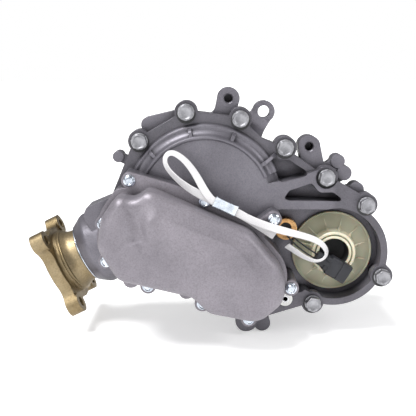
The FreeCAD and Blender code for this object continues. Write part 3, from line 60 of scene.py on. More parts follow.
# Where the axes run, in metres and then as (x, z) in millimetres.  The shafts' joints
# give them.
joints = {j["name"]: j for j in frame["joints"]}
inputAxis = np.array(joints["input_spin"]["pos_m"])
ringAxis = np.array(joints["ring_spin"]["pos_m"])
ring = (ringAxis[0] / mm, ringAxis[2] / mm)
inputCentre = (inputAxis[0] / mm, inputAxis[2] / mm)

# Camera, light and floor.
cameraSetup = {"place": (-0.134663, -0.81688, 0.186489), "tilt": 79.0, "lens": 58.846}
lightSetup = {
    "key": {"place": (-0.62, -0.52, 1.15), "aim": (-0.12, -0.10, 0.0), "angle": 24.0,
            "power": 4.3},
    "front": {"place": (-0.75, -1.10, 0.45), "aim": (-0.12, -0.1, 0.03), "size": 0.7,
              "power": 4.0},
    "side": {"place": (0.65, -0.55, 0.50), "aim": (-0.10, -0.1, 0.05), "size": 0.35,
             "power": 3.0},
}
skySetup = {"bands": [(0.02, (0.10, 0.10, 0.11)), (0.40, (0.24, 0.24, 0.25)),
                      (0.56, (0.62, 0.62, 0.64)), (0.98, (1.0, 1.0, 1.0))],
            "strength": 0.40}


def makeCamera():
    data = bpy.data.cameras.new("camera")
    data.lens = cameraSetup["lens"]
    data.sensor_width = 36.0
    camera = bpy.data.objects.new("camera", data)
    camera.location = cameraSetup["place"]
    camera.rotation_euler = (math.radians(cameraSetup["tilt"]), 0, 0)
    bpy.context.scene.collection.objects.link(camera)
    bpy.context.scene.camera = camera


# One sun aimed like the lamps, two soft panels, and a room whose brightness grows with
# the height of the direction looked in.
def makeLights():
    for name, setup in lightSetup.items():
        if "angle" in setup:
            data = bpy.data.lights.new(name + "Light", "SUN")
            data.angle = math.radians(setup["angle"])
        else:
            data = bpy.data.lights.new(name + "Light", "AREA")
            data.size = setup["size"]
        data.energy = setup["power"]
        light = bpy.data.objects.new(name + "Light", data)
        light.location = setup["place"]
        aim = Vector(setup["aim"]) - Vector(setup["place"])
        light.rotation_euler = aim.to_track_quat("-Z", "Y").to_euler()
        bpy.context.scene.collection.objects.link(light)
    # the room: bright above, dim below, and plain white behind the object
    world = bpy.data.worlds.new("studio")
    world.use_nodes = True
    tree = world.node_tree
    tree.nodes.clear()
    room = tree.nodes.new("ShaderNodeBackground")
    room.inputs["Strength"].default_value = skySetup["strength"]
    direction = tree.nodes.new("ShaderNodeTexCoord")
    split = tree.nodes.new("ShaderNodeSeparateXYZ")
    band = tree.nodes.new("ShaderNodeValToRGB")
    for place, colour in skySetup["bands"]:
        stop = band.color_ramp.elements.new(place)
        stop.color = (*colour, 1)
    band.color_ramp.elements.remove(band.color_ramp.elements[0])
    half = tree.nodes.new("ShaderNodeMath")
    half.operation = "MULTIPLY_ADD"
    half.inputs[1].default_value = 0.5
    half.inputs[2].default_value = 0.5
    tree.links.new(direction.outputs["Generated"], split.inputs[0])
    tree.links.new(split.outputs["Z"], half.inputs[0])
    tree.links.new(half.outputs[0], band.inputs["Fac"])
    tree.links.new(band.outputs["Color"], room.inputs["Color"])
    backdrop = tree.nodes.new("ShaderNodeBackground")
    backdrop.inputs["Color"].default_value = (1, 1, 1, 1)
    seen = tree.nodes.new("ShaderNodeLightPath")
    mix = tree.nodes.new("ShaderNodeMixShader")
    out = tree.nodes.new("ShaderNodeOutputWorld")
    tree.links.new(seen.outputs["Is Camera Ray"], mix.inputs["Fac"])
    tree.links.new(room.outputs[0], mix.inputs[1])
    tree.links.new(backdrop.outputs[0], mix.inputs[2])
    tree.links.new(mix.outputs[0], out.inputs["Surface"])
    bpy.context.scene.world = world
    bpy.context.scene.view_settings.view_transform = "Standard"


# New shader node; each value goes to the input of that name, or else to the property.
def addNode(tree, kind, label="", **values):
    node = tree.nodes.new(kind)
    node.label = label
    for key, value in values.items():
        if key in node.inputs.keys():
            node.inputs[key].default_value = value
        else:
            setattr(node, key, value)
    return node


def newMaterial(name, **shader):
    material = bpy.data.materials.new(name)
    material.use_nodes = True
    surface = material.node_tree.nodes["Principled BSDF"]
    for key, value in shader.items():
        surface.inputs[key].default_value = value
    return material, material.node_tree, surface


floorSetup = {"size": 30.0, "below": 0.0005, "tone": (0.80, 0.80, 0.80, 1), "glow": 0.48}


def makeFloor():
    size, height = floorSetup["size"], cadBox[0][2] - floorSetup["below"]
    mesh = bpy.data.meshes.new("floor")
    mesh.from_pydata([(-size, -size, height), (size, -size, height), (size, size, height),
                      (-size, size, height)], [], [(0, 1, 2, 3)])
    floor = bpy.data.objects.new("floor", mesh)
    bpy.context.scene.collection.objects.link(floor)
    material, tree, surface = newMaterial("paleFloor", Roughness=0.9)
    surface.inputs["Base Color"].default_value = floorSetup["tone"]
    surface.inputs["Emission Color"].default_value = (1, 1, 1, 1)
    surface.inputs["Emission Strength"].default_value = floorSetup["glow"]
    mesh.materials.append(material)


makeCamera()
makeLights()
makeFloor()
print("stage ready")


# Materials.
def objectCoordinates(tree, scale=1.0):
    coordinates = addNode(tree, "ShaderNodeTexCoord")
    mapping = addNode(tree, "ShaderNodeMapping")
    mapping.inputs["Scale"].default_value = (scale, scale, scale)
    tree.links.new(coordinates.outputs["Object"], mapping.inputs["Vector"])
    return mapping.outputs["Vector"]


def noise(tree, vector, scale, detail=4.0, rough=0.55):
    texture = addNode(tree, "ShaderNodeTexNoise", Scale=scale, Detail=detail, Roughness=rough)
    tree.links.new(vector, texture.inputs["Vector"])
    return texture.outputs["Fac"]


def ramp(tree, value, stops):
    node = addNode(tree, "ShaderNodeValToRGB")
    band = node.color_ramp
    while len(band.elements) < len(stops):
        band.elements.new(0.5)
    for element, (place, colour) in zip(band.elements, stops):
        element.position = place
        element.color = (*colour, 1) if len(colour) == 3 else colour
    tree.links.new(value, node.inputs["Fac"])
    return node.outputs["Color"]


def mixColours(tree, share, first, second, mode="MIX"):
    node = addNode(tree, "ShaderNodeMix", data_type="RGBA", blend_type=mode)
    if isinstance(share, float):
        node.inputs[0].default_value = share
    else:
        tree.links.new(share, node.inputs[0])
    tree.links.new(first, node.inputs[6])
    tree.links.new(second, node.inputs[7])
    return node.outputs[2]


def arithmetic(tree, operation, first, second):
    node = addNode(tree, "ShaderNodeMath", operation=operation)
    for socket, value in zip(node.inputs, (first, second)):
        if isinstance(value, float):
            socket.default_value = value
        else:
            tree.links.new(value, socket)
    return node.outputs[0]


def bumpFrom(tree, height, distance, strength=1.0, normal=None):
    node = addNode(tree, "ShaderNodeBump", Strength=strength, Distance=distance)
    tree.links.new(height, node.inputs["Height"])
    if normal is not None:
        tree.links.new(normal, node.inputs["Normal"])
    return node.outputs["Normal"]


def softEdges(tree, radius):
    node = addNode(tree, "ShaderNodeBevel", Radius=radius)
    node.samples = 4
    return node.outputs["Normal"]


# Painted shade in corners: the base colour darkens where near surfaces close the view.
def paintedCreviceShade(tree, setup):
    node = addNode(tree, "ShaderNodeAmbientOcclusion", Distance=setup["creviceReach"])
    node.samples = 6
    return ramp(tree, node.outputs["AO"], [(0.25, (setup["creviceDark"],) * 3), (0.85, (1, 1, 1))])


# Painted shade on the joint faces: the base colour darkens in a band of depth along Y.
def paintedRailShade(tree, where, setup):
    split = addNode(tree, "ShaderNodeSeparateXYZ")
    tree.links.new(where, split.inputs[0])
    off = arithmetic(tree, "SUBTRACT", split.outputs["Y"], setup["railDepth"])
    away = arithmetic(tree, "ABSOLUTE", off, 0.0)
    share = arithmetic(tree, "MULTIPLY", away, setup["railSharp"])
    return ramp(tree, share, [(0.35, (setup["railDark"],) * 3), (0.75, (1, 1, 1))])


# A casting: cloudy tone from a slow noise, fine dark and bright grains from a quick one,
# the grains also as bump, and edges rounded in the shading.
def castMetal(name, setup):
    material, tree, surface = newMaterial(
        name, Metallic=setup["metallic"], **{"Specular IOR Level": 0.5})
    where = objectCoordinates(tree)
    cloud = noise(tree, where, setup["cloudScale"], 5.0, 0.6)
    grain = noise(tree, where, setup["grainScale"], 2.0, 0.7)
    cloudColour = ramp(tree, cloud, [(0.30, setup["dark"]), (0.70, setup["light"])])
    grainColour = ramp(tree, grain, [(0.30, (0.62, 0.62, 0.62)), (0.5, (1, 1, 1)),
                                     (0.72, (1.25, 1.25, 1.25))])
    colour = mixColours(tree, setup["grainShare"], cloudColour, grainColour, "MULTIPLY")
    # painted shade in corners, multiplied into the base colour
    colour = mixColours(tree, 1.0, colour, paintedCreviceShade(tree, setup), "MULTIPLY")
    # painted shade on the joint faces, multiplied into the base colour
    if "railDepth" in setup:
        colour = mixColours(tree, 1.0, colour, paintedRailShade(tree, where, setup), "MULTIPLY")
    tree.links.new(colour, surface.inputs["Base Color"])
    rough = ramp(tree, cloud, [(0.2, (setup["rough"] - 0.08,) * 3),
                               (0.8, (setup["rough"] + 0.08,) * 3)])
    tree.links.new(rough, surface.inputs["Roughness"])
    coarse = noise(tree, where, setup["grainScale"] * 0.45, 3.0, 0.6)
    height = arithmetic(tree, "ADD", grain, coarse)
    edges = softEdges(tree, setup["edgeRadius"])
    normal = bumpFrom(tree, height, setup["bump"], 0.8, edges)
    tree.links.new(normal, surface.inputs["Normal"])
    return material


# Plated or ground steel: faint cloud, fine grain and a little unevenness in the gloss.
def platedSteel(name, setup):
    material, tree, surface = newMaterial(name, Metallic=1.0)
    where = objectCoordinates(tree)
    cloud = noise(tree, where, setup["cloudScale"], 4.0, 0.6)
    grain = noise(tree, where, setup["grainScale"], 2.0, 0.6)
    cloudColour = ramp(tree, cloud, [(0.32, setup["dark"]), (0.68, setup["light"])])
    grainColour = ramp(tree, grain, [(0.30, (0.72, 0.72, 0.72)), (0.55, (1, 1, 1)),
                                     (0.75, (1.2, 1.2, 1.2))])
    colour = mixColours(tree, setup["grainShare"], cloudColour, grainColour, "MULTIPLY")
    tree.links.new(colour, surface.inputs["Base Color"])
    rough = ramp(tree, grain, [(0.2, (setup["rough"] - 0.06,) * 3),
                               (0.8, (setup["rough"] + 0.08,) * 3)])
    tree.links.new(rough, surface.inputs["Roughness"])
    edges = softEdges(tree, setup["edgeRadius"])
    tree.links.new(bumpFrom(tree, grain, setup["bump"], 0.6, edges), surface.inputs["Normal"])
    return material


# A moulded or rubber surface: colour with a slow drift, fine pebble bump.
def mouldedSurface(name, setup):
    material, tree, surface = newMaterial(name)
    where = objectCoordinates(tree)
    drift = noise(tree, where, setup["driftScale"], 3.0, 0.5)
    pebble = noise(tree, where, setup["pebbleScale"], 2.0, 0.5)
    colour = ramp(tree, drift, [(0.3, setup["dark"]), (0.7, setup["light"])])
    tree.links.new(colour, surface.inputs["Base Color"])
    rough = ramp(tree, pebble, [(0.2, (setup["rough"] - 0.05,) * 3),
                                (0.8, (setup["rough"] + 0.07,) * 3)])
    tree.links.new(rough, surface.inputs["Roughness"])
    edges = softEdges(tree, setup["edgeRadius"])
    tree.links.new(bumpFrom(tree, pebble, setup["bump"], 0.5, edges), surface.inputs["Normal"])
    for key, value in setup.get("shader", {}).items():
        surface.inputs[key].default_value = value
    return material


# Woven webbing on the strap's own UV map: u counts the length and v the way round, so two
# crossed sine waves give the over and under of the threads.
def wovenMaterial(name, setup):
    material, tree, surface = newMaterial(name, Roughness=0.85)
    surface.inputs["Sheen Weight"].default_value = 0.3
    coordinates = addNode(tree, "ShaderNodeTexCoord")
    weaves = []
    for turn in (setup["lean"], -setup["lean"]):
        mapping = addNode(tree, "ShaderNodeMapping")
        mapping.inputs["Rotation"].default_value = (0, 0, math.radians(turn))
        tree.links.new(coordinates.outputs["UV"], mapping.inputs["Vector"])
        wave = addNode(tree, "ShaderNodeTexWave", Scale=setup["threads"], Distortion=0.6)
        wave.wave_type = "BANDS"
        tree.links.new(mapping.outputs["Vector"], wave.inputs["Vector"])
        weaves.append(wave.outputs["Fac"])
    height = arithmetic(tree, "MULTIPLY", weaves[0], weaves[1])
    colour = ramp(tree, height, [(0.0, setup["dark"]), (0.6, setup["light"])])
    tree.links.new(colour, surface.inputs["Base Color"])
    tree.links.new(bumpFrom(tree, height, setup["bump"], 0.6), surface.inputs["Normal"])
    return material


# creviceDark and railDark are the tones of the painted shade in corners and on the joint faces
castSetup = {"dark": (0.118, 0.112, 0.130), "light": (0.165, 0.158, 0.181), "metallic": 0.55,
             "cloudScale": 26.0, "grainScale": 900.0, "grainShare": 0.5, "rough": 0.42,
             "bump": 0.00014, "edgeRadius": 0.0011, "creviceReach": 0.012,
             "creviceDark": 0.22, "railDepth": -0.114, "railDark": 0.72, "railSharp": 400.0}
coverSetup = {"dark": (0.160, 0.148, 0.168), "light": (0.228, 0.211, 0.236), "metallic": 0.45,
              "cloudScale": 20.0, "grainScale": 620.0, "grainShare": 0.5, "rough": 0.46,
              "bump": 0.00024, "edgeRadius": 0.0016, "creviceReach": 0.010,
              "creviceDark": 0.3}
zincSetup = {"dark": (0.22, 0.22, 0.235), "light": (0.36, 0.36, 0.38), "cloudScale": 120.0,
             "grainScale": 1500.0, "grainShare": 0.3, "rough": 0.46, "bump": 0.00004,
             "edgeRadius": 0.0004}
brightSetup = dict(zincSetup, dark=(0.36, 0.40, 0.46), light=(0.62, 0.66, 0.72), rough=0.24)
chromateSetup = {"dark": (0.20, 0.150, 0.080), "light": (0.33, 0.265, 0.165), "cloudScale": 34.0,
                 "grainScale": 620.0, "grainShare": 0.7, "rough": 0.45, "bump": 0.00022,
                 "edgeRadius": 0.001}
# painted shade: near black steel for the input shaft, standing for the shade deep in its bore
shaftShadeSetup = dict(zincSetup, dark=(0.020, 0.020, 0.022), light=(0.045, 0.045, 0.048), rough=0.4)
ribSetup = {"dark": (0.46, 0.43, 0.31), "light": (0.62, 0.59, 0.46), "driftScale": 60.0,
            "pebbleScale": 900.0, "rough": 0.35, "bump": 0.00003, "edgeRadius": 0.0004,
            "shader": {"Subsurface Weight": 0.3, "Subsurface Scale": 0.003}}
machinedSetup = {"dark": (0.46, 0.46, 0.48), "light": (0.60, 0.60, 0.62), "cloudScale": 60.0,
                 "grainScale": 1200.0, "grainShare": 0.2, "rough": 0.26, "bump": 0.00003,
                 "edgeRadius": 0.0004}
copperSetup = dict(machinedSetup, dark=(0.36, 0.17, 0.06), light=(0.72, 0.46, 0.22), rough=0.28)
rubberSetup = {"dark": (0.012, 0.012, 0.013), "light": (0.024, 0.024, 0.026),
               "driftScale": 60.0, "pebbleScale": 900.0, "rough": 0.62, "bump": 0.00006,
               "edgeRadius": 0.0004}
connectorSetup = {"dark": (0.004, 0.0045, 0.007), "light": (0.012, 0.013, 0.018),
                  "driftScale": 40.0, "pebbleScale": 1400.0, "rough": 0.55, "bump": 0.00004,
                  "edgeRadius": 0.0006}
plugSetup = {"dark": (0.29, 0.28, 0.185), "light": (0.46, 0.445, 0.32), "driftScale": 30.0,
             "pebbleScale": 700.0, "rough": 0.38, "bump": 0.00005, "edgeRadius": 0.0005,
             "shader": {"Subsurface Weight": 0.35, "Subsurface Scale": 0.004,
                        "Transmission Weight": 0.25}}
whiteSetup = {"dark": (0.66, 0.66, 0.64), "light": (0.80, 0.80, 0.78), "driftScale": 60.0,
              "pebbleScale": 900.0, "rough": 0.5, "bump": 0.00005, "edgeRadius": 0.0004}
gasketSetup = {"dark": (0.05, 0.05, 0.055), "light": (0.10, 0.10, 0.11), "driftScale": 80.0,
               "pebbleScale": 800.0, "rough": 0.7, "bump": 0.00005, "edgeRadius": 0.0002}
strapSetup = {"dark": (0.56, 0.55, 0.56), "light": (0.74, 0.73, 0.74), "threads": 9.0,
              "lean": 34.0, "bump": 0.00016}

finishes = {
    "castCase": castMetal("castCase", castSetup),
    "castCover": castMetal("castCover", coverSetup),
    "zincBolt": platedSteel("zincBolt", zincSetup),
    "brightZinc": platedSteel("brightZinc", brightSetup),
    "chromate": platedSteel("yellowChromate", chromateSetup),
    "machined": platedSteel("machinedSteel", machinedSetup),
    "copper": platedSteel("copperRing", copperSetup),
    "shaftShade": platedSteel("shaftShadeSteel", shaftShadeSetup),
    "plugRib": mouldedSurface("paleRib", ribSetup),
    "rubber": mouldedSurface("blackRubber", rubberSetup),
    "connector": mouldedSurface("connectorPlastic", connectorSetup),
    "plug": mouldedSurface("creamPlastic", plugSetup),
    "whiteRing": mouldedSurface("whitePlastic", whiteSetup),
    "gasket": mouldedSurface("darkGasket", gasketSetup),
    "strap": wovenMaterial("wovenStrap", strapSetup),
}
finishOfSlot = {
    "cast_case": "castCase", "cover_cast": "castCover", "gasket": "gasket",
    "bolt_zinc": "zincBolt", "small_bolt_zinc": "brightZinc", "gear_steel": "machined",
    "bearing_steel": "machined", "zinc_chromate": "chromate", "seal_rubber": "rubber",
    "plug_plastic": "plug", "copper_ring": "copper", "strap_weave": "strap",
    "clip_steel": "brightZinc", "lead_black": "rubber", "connector_black": "connector",
    "ring_white": "whiteRing",
}


def dressNodes():
    slots = {part["node"]: part["material_slot"] for part in frame["record"]["subparts"]}
    for name, node in cad.items():
        # painted shade: the input shaft is drawn near black for the shade in its bore
        finish = "shaftShade" if name == "input_shaft" else finishOfSlot[slots[name]]
        node.data.materials.clear()
        node.data.materials.append(finishes[finish])


dressNodes()
print("materials ready")


# Mesh helpers.
def makePiece(name, points, faces, finish, body="housing", smooth=True):
    mesh = bpy.data.meshes.new(name)
    mesh.from_pydata(np.asarray(points, float).reshape(-1, 3).tolist(), [], faces)
    mesh.polygons.foreach_set("use_smooth", np.full(len(mesh.polygons), smooth))
    mesh.materials.append(finishes[finish])
    mesh.update()
    piece = bpy.data.objects.new(name, mesh)
    bpy.context.scene.collection.objects.link(piece)
    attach(piece, body)
    return piece


def gridFaces(rows, columns, closeRows=False, closeColumns=True, first=0):
    # quads between neighbouring rows and columns, wrapped round where closed
    r = np.arange(rows if closeRows else rows - 1)
    c = np.arange(columns if closeColumns else columns - 1)
    a = r[:, None] * columns + c[None, :]
    b = r[:, None] * columns + (c[None, :] + 1) % columns
    d = ((r[:, None] + 1) % rows) * columns + c[None, :]
    e = ((r[:, None] + 1) % rows) * columns + (c[None, :] + 1) % columns
    return (np.stack([a, b, e, d], axis=-1).reshape(-1, 4) + first).tolist()


# Edges that turn by more than the angle are shaded as creases.
def sharpEdges(piece, angle=35.0):
    piece.data.set_sharp_from_angle(angle=math.radians(angle))
    return piece


# Strap and leads: their lines first.
strapRoute = {
    "width": 8.0 * mm, "thick": 1.6 * mm, "rearY": -153.0, "frontY": -154.95,
}


def strapPoints():
    rear, front = strapRoute["rearY"], strapRoute["frontY"]
    return [
        (-67.8, -150.5, 28.4, 0), (-80.0, -151.5, 36.4, 0), (-94.0, -152.6, 45.9, 0),
        (-108.0, rear, 54.4, 0), (-117.7, rear, 58.9, 0), (-128.0, rear, 63.7, 0),
        (-137.0, rear, 67.9, 0), (-147.0, -153.2, 73.3, 12), (-158.0, -152.4, 80.2, 32),
        (-168.0, -151.6, 88.8, 48), (-175.5, -151.2, 97.6, 55), (-177.6, -151.0, 105.6, 58),
        (-174.8, -151.0, 111.2, 60), (-169.6, -151.4, 112.6, 60), (-163.2, -151.6, 109.6, 55),
        (-156.0, -151.8, 103.4, 48), (-149.5, -152.2, 95.0, 40), (-144.0, -153.0, 86.0, 30),
        (-138.6, -154.4, 75.8, 14), (-133.2, front, 68.0, 4), (-128.6, front, 64.0, 0),
        (-117.7, front, 58.9, 0), (-108.0, front, 54.4, 0), (-94.0, -155.0, 46.6, 0),
        (-82.0, -154.8, 41.6, 0), (-72.0, -154.4, 38.0, 6), (-60.0, -152.6, 34.2, 28),
        (-48.0, -149.6, 30.6, 42), (-36.0, -147.0, 27.0, 50), (-25.0, -145.0, 22.8, 52),
        (-16.5, -143.0, 16.6, 55), (-12.4, -141.5, 9.0, 58), (-14.8, -140.4, 2.2, 60),
        (-21.6, -140.0, -1.2, 60), (-29.6, -140.2, 0.6, 55), (-38.0, -140.8, 5.0, 48),
        (-46.0, -141.6, 10.6, 42), (-54.0, -142.4, 16.4, 38)]


leadRoutes = {
    "radius": 0.85 * mm,
    "lead_a": [(-49.6, -99.0, 26.4), (-49.6, -120.1, 24.0), (-31.2, -120.1, 8.46),
               (-19.16, -120.1, 1.23)],
    "lead_b": [(-52.4, -99.0, 23.6), (-52.4, -120.1, 21.0), (-33.8, -120.1, 3.96),
               (-21.84, -120.1, -3.23)],
}


# Quadratic NURBS through the first and last point, with the rest as its control points.
def splineCurve(name, points, resolution=8):
    curve = bpy.data.curves.new(name, "CURVE")
    curve.dimensions = "3D"
    curve.resolution_u = resolution
    spline = curve.splines.new("NURBS")
    spline.points.add(len(points) - 1)
    for target, point in zip(spline.points, points):
        target.co = (*point, 1.0)
    spline.order_u = 3
    spline.use_endpoint_u = True
    return curve


def splineLine(points, resolution=8):
    # points along the spline, read from the curve without a bevel
    curve = splineCurve("helper", points, resolution)
    holder = bpy.data.objects.new("helper", curve)
    bpy.context.scene.collection.objects.link(holder)
    mesh = bpy.data.meshes.new_from_object(holder)
    line = np.empty(len(mesh.vertices) * 3)
    mesh.vertices.foreach_get("co", line)
    bpy.data.objects.remove(holder)
    bpy.data.curves.remove(curve)
    bpy.data.meshes.remove(mesh)
    return line.reshape(-1, 3)


# The strap: a flat rounded section carried along the line.  Its width leans about the line
# by the roll, which runs through a spline of its own with the same knots.
def makeStrap():
    route = strapPoints()
    line = splineLine([(x * mm, y * mm, z * mm) for x, y, z, _ in route])
    roll = np.radians(splineLine([(r * 0.01, 0, 0) for _, _, _, r in route])[:, 0] * 100)
    ahead = np.gradient(line, axis=0)
    ahead /= np.linalg.norm(ahead, axis=1)[:, None]
    side = np.cross(ahead, (0, 1, 0))
    side /= np.linalg.norm(side, axis=1)[:, None]
    up = np.cross(side, ahead)
    across = side * np.cos(roll)[:, None] + up * np.sin(roll)[:, None]
    thick = np.cross(ahead, across)
    count = 20
    turn = np.linspace(0, 2 * np.pi, count, endpoint=False)
    a = strapRoute["width"] / 2 * np.sign(np.cos(turn)) * np.abs(np.cos(turn)) ** 0.35
    b = strapRoute["thick"] / 2 * np.sign(np.sin(turn)) * np.abs(np.sin(turn)) ** 0.6
    points = (line[:, None, :] + across[:, None, :] * a[None, :, None]
              + thick[:, None, :] * b[None, :, None])
    rows = len(line)
    faces = gridFaces(rows, count)
    faces.append(list(range(count))[::-1])
    faces.append([(rows - 1) * count + i for i in range(count)])
    piece = makePiece("wovenStrapRibbon", points, faces, "strap")
    length = np.concatenate([[0], np.cumsum(np.linalg.norm(np.diff(line, axis=0), axis=1))])
    u = np.repeat(length / strapRoute["width"], count)
    v = np.tile(a / strapRoute["width"], rows)
    layer = piece.data.uv_layers.new(name="weave")
    corners = np.empty(len(piece.data.loops), np.int32)
    piece.data.loops.foreach_get("vertex_index", corners)
    layer.data.foreach_set("uv", np.stack([u[corners], v[corners]], axis=1).ravel())
    sharpEdges(piece, 50)
    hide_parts("woven_strap")
    print("strap length", round(float(length[-1]), 4))
    return piece, line, float(length[-1])


strapPiece, strapLine, strapLength = makeStrap()


# The strap's seal: a flattened ring of sheet steel whose overlap stands up along one edge,
# carried straight through and flared a little at both mouths.
sealShape = {"middle": (-117.7, -153.975, 58.9), "lean": -25.0, "length": 24.0, "width": 9.6,
             "depth": 5.0, "sheet": 0.9}


def makeSeal():
    s = sealShape
    w, d, t = s["width"] / 2, s["depth"] / 2, s["sheet"]
    # outline of the sheet's middle line in (across, depth), from the folded edge round to the lap
    line = np.array([(-w - 1.2, -d - 0.2), (-w + 0.6, -d), (w - 0.8, -d), (w, -d + 0.8),
                     (w, d - 0.8), (w - 0.8, d), (-w + 0.8, d), (-w, d - 0.8), (-w, -d + 1.6),
                     (-w - 0.6, -d + 1.1)])
    step = np.gradient(line, axis=0)
    normal = np.stack([-step[:, 1], step[:, 0]], axis=1)
    normal /= np.linalg.norm(normal, axis=1)[:, None]
    section = np.concatenate([line + normal * t / 2, (line - normal * t / 2)[::-1]])
    stations = np.array([-1.0, -0.94, -0.82, 0.0, 0.82, 0.94, 1.0]) * s["length"] / 2
    flare = np.array([1.10, 1.03, 1.0, 0.97, 1.0, 1.03, 1.10])
    lean = math.radians(s["lean"])
    along = np.array([math.cos(lean), 0, math.sin(lean)])
    acrossAxis = np.array([-math.sin(lean), 0, math.cos(lean)])
    out = np.array([0, 1.0, 0])
    middle = np.array(s["middle"])
    points = (middle + stations[:, None, None] * along
              + section[None, :, 0, None] * flare[:, None, None] * acrossAxis * -1
              + section[None, :, 1, None] * out)
    count = len(section)
    faces = gridFaces(len(stations), count)
    faces.append(list(range(count))[::-1])
    faces.append([(len(stations) - 1) * count + i for i in range(count)])
    piece = makePiece("strapSealCrimp", points * mm, faces, "brightZinc",
                      smooth=False)
    bevel = piece.modifiers.new("softEdge", "BEVEL")
    bevel.width = 0.25 * mm
    bevel.segments = 2
    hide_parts("strap_seal")
    return piece


sealPiece = makeSeal()


# The connector: rounded-box sections carried along its lean, with a latch and ribs.
connectorShape = {"lean": -31.0, "start": (-20.5, -1.0), "backY": -112.6, "thick": 15.0}


def boxSection(halfWidth, halfDepth, corner, count=24):
    # superellipse-like ring: cosine and sine raised to a small power
    turn = np.linspace(0, 2 * np.pi, count, endpoint=False) + np.pi / count
    x = halfWidth * np.sign(np.cos(turn)) * np.abs(np.cos(turn)) ** corner
    y = halfDepth * np.sign(np.sin(turn)) * np.abs(np.sin(turn)) ** corner
    return np.stack([x, y], axis=1)


def carriedSections(name, rows, finish, origin, along, acrossAxis, depthAxis):
    # rows are (station, half width, half depth, depth shift, corner power); closed by caps
    rings = []
    for station, halfWidth, halfDepth, shift, corner in rows:
        section = boxSection(halfWidth, halfDepth, corner)
        rings.append(origin + station * along + section[:, :1] * acrossAxis
                     + (section[:, 1:] + shift) * depthAxis)
    points = np.array(rings)
    count = points.shape[1]
    faces = gridFaces(len(rows), count)
    faces.append(list(range(count))[::-1])
    faces.append([(len(rows) - 1) * count + i for i in range(count)])
    piece = makePiece(name, points * mm, faces, finish)
    return sharpEdges(faceOutward(piece))


# Volume inside a closed mesh: a sixth of the triple products of its triangles' corners.
def volumeOf(mesh):
    mesh.calc_loop_triangles()
    corners = np.empty(len(mesh.loop_triangles) * 3, np.int32)
    mesh.loop_triangles.foreach_get("vertices", corners)
    points = np.empty(len(mesh.vertices) * 3)
    mesh.vertices.foreach_get("co", points)
    a, b, c = points.reshape(-1, 3)[corners.reshape(-1, 3)].transpose(1, 0, 2)
    return float(np.einsum("ij,ij->i", a, np.cross(b, c)).sum() / 6)


# A closed mesh of negative volume is inside out.
def faceOutward(piece):
    if volumeOf(piece.data) < 0:
        piece.data.flip_normals()
    return piece


def makeConnector():
    s = connectorShape
    lean = math.radians(s["lean"])
    along = np.array([math.cos(lean), 0, math.sin(lean)])
    acrossAxis = np.array([-math.sin(lean), 0, math.cos(lean)])
    depthAxis = np.array([0, -1.0, 0])
    origin = np.array([s["start"][0], s["backY"], s["start"][1]])
    t = s["thick"] / 2
    rows = [(0, 5.6, t - 2.4, t, 0.3), (0.6, 6.2, t - 1.8, t, 0.3), (11.0, 6.4, t - 1.6, t, 0.3),
            (11.4, 8.0, t - 0.8, t, 0.3), (15.0, 8.2, t - 0.6, t, 0.3),
            (15.4, 9.8, t - 0.2, t, 0.3), (16.4, 10.4, t, t, 0.3), (27.0, 10.4, t, t, 0.3),
            (27.3, 9.6, t - 0.6, t, 0.3), (28.2, 9.6, t - 0.6, t, 0.3), (28.5, 10.4, t, t, 0.3),
            (38.4, 10.4, t, t, 0.3), (39.0, 9.9, t - 0.5, t, 0.3), (39.0, 8.4, t - 2.2, t, 0.3),
            (29.0, 8.2, t - 2.4, t, 0.3)]
    body = carriedSections("connectorShell", rows, "connector", origin,
                           along, acrossAxis, depthAxis)
    latchRows = [(3.6, 2.2, 0.4, s["thick"] - 2.0, 0.4), (4.2, 2.5, 1.2, s["thick"] - 1.2, 0.4),
                 (12.0, 2.5, 1.3, s["thick"] - 0.5, 0.4), (15.8, 2.5, 1.0, s["thick"], 0.4),
                 (16.2, 2.2, 0.5, s["thick"], 0.4)]
    carriedSections("connectorLatch", latchRows, "connector", origin,
                    along, acrossAxis, depthAxis)
    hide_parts("lead_connector")
    return body


connectorBody = makeConnector()


# Each lead: a round wire along its spline, as long as the sum of its steps.
def makeLeads():
    for name in ("lead_a", "lead_b"):
        points = [(x * mm, y * mm, z * mm) for x, y, z in leadRoutes[name]]
        line = splineLine(points)
        curve = splineCurve(name + "Wire", points)
        curve.bevel_depth = leadRoutes["radius"]
        curve.bevel_resolution = 3
        curve.use_fill_caps = True
        curve.materials.append(finishes["rubber"])
        wire = bpy.data.objects.new(name + "Wire", curve)
        bpy.context.scene.collection.objects.link(wire)
        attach(wire, "housing")
        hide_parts(name)


makeLeads()
print("strap and leads ready")

# Bolts: a revolved grid whose head rows are cut back to the hexagon.  Places are radius and
# angle about an axis, or offsets from the ring axis; a sign of -1 puts the head to the front.
boltSpecs = {
    "case_bolts": {
        "ringPolar": [(93.0, 136.8), (95.5, 101.9), (93.9, 67.3), (100.6, 34.5)],
        "inputPolar": [(83.2, 97.6), (62.0, 59.1), (57.1, -25.4), (58.4, -111.8)],
        "seat": -114.0, "sign": -1, "flats": 15.0, "length": 25.8, "shank": 4.95,
        "washer": 8.1, "head": 9.4, "finish": "zincBolt", "slot": "bolt_zinc"},
    "rear_case_bolts": {
        "ringPolar": [(91.0, 242.0), (139.0, 288.8)],
        "seat": -92.2, "sign": 1, "flats": 15.0, "length": 18.8, "shank": 4.95,
        "washer": 11.0, "head": 10.0, "finish": "zincBolt", "slot": "bolt_zinc"},
    "cover_bolts": {
        "ringOffset": [(-75.6, 27.4), (-0.1, 6.2), (69.3, -12.2), (88.4, -84.6),
                       (45.3, -118.0), (-2.7, -101.3), (-58.6, -82.2), (-100.9, -55.9),
                       (-103.1, -16.9)],
        "seat": -145.8, "sign": -1, "flats": 8.0, "length": 19.0, "shank": 2.95,
        "washer": 6.0, "head": 6.0, "finish": "brightZinc", "slot": "small_bolt_zinc"},
}
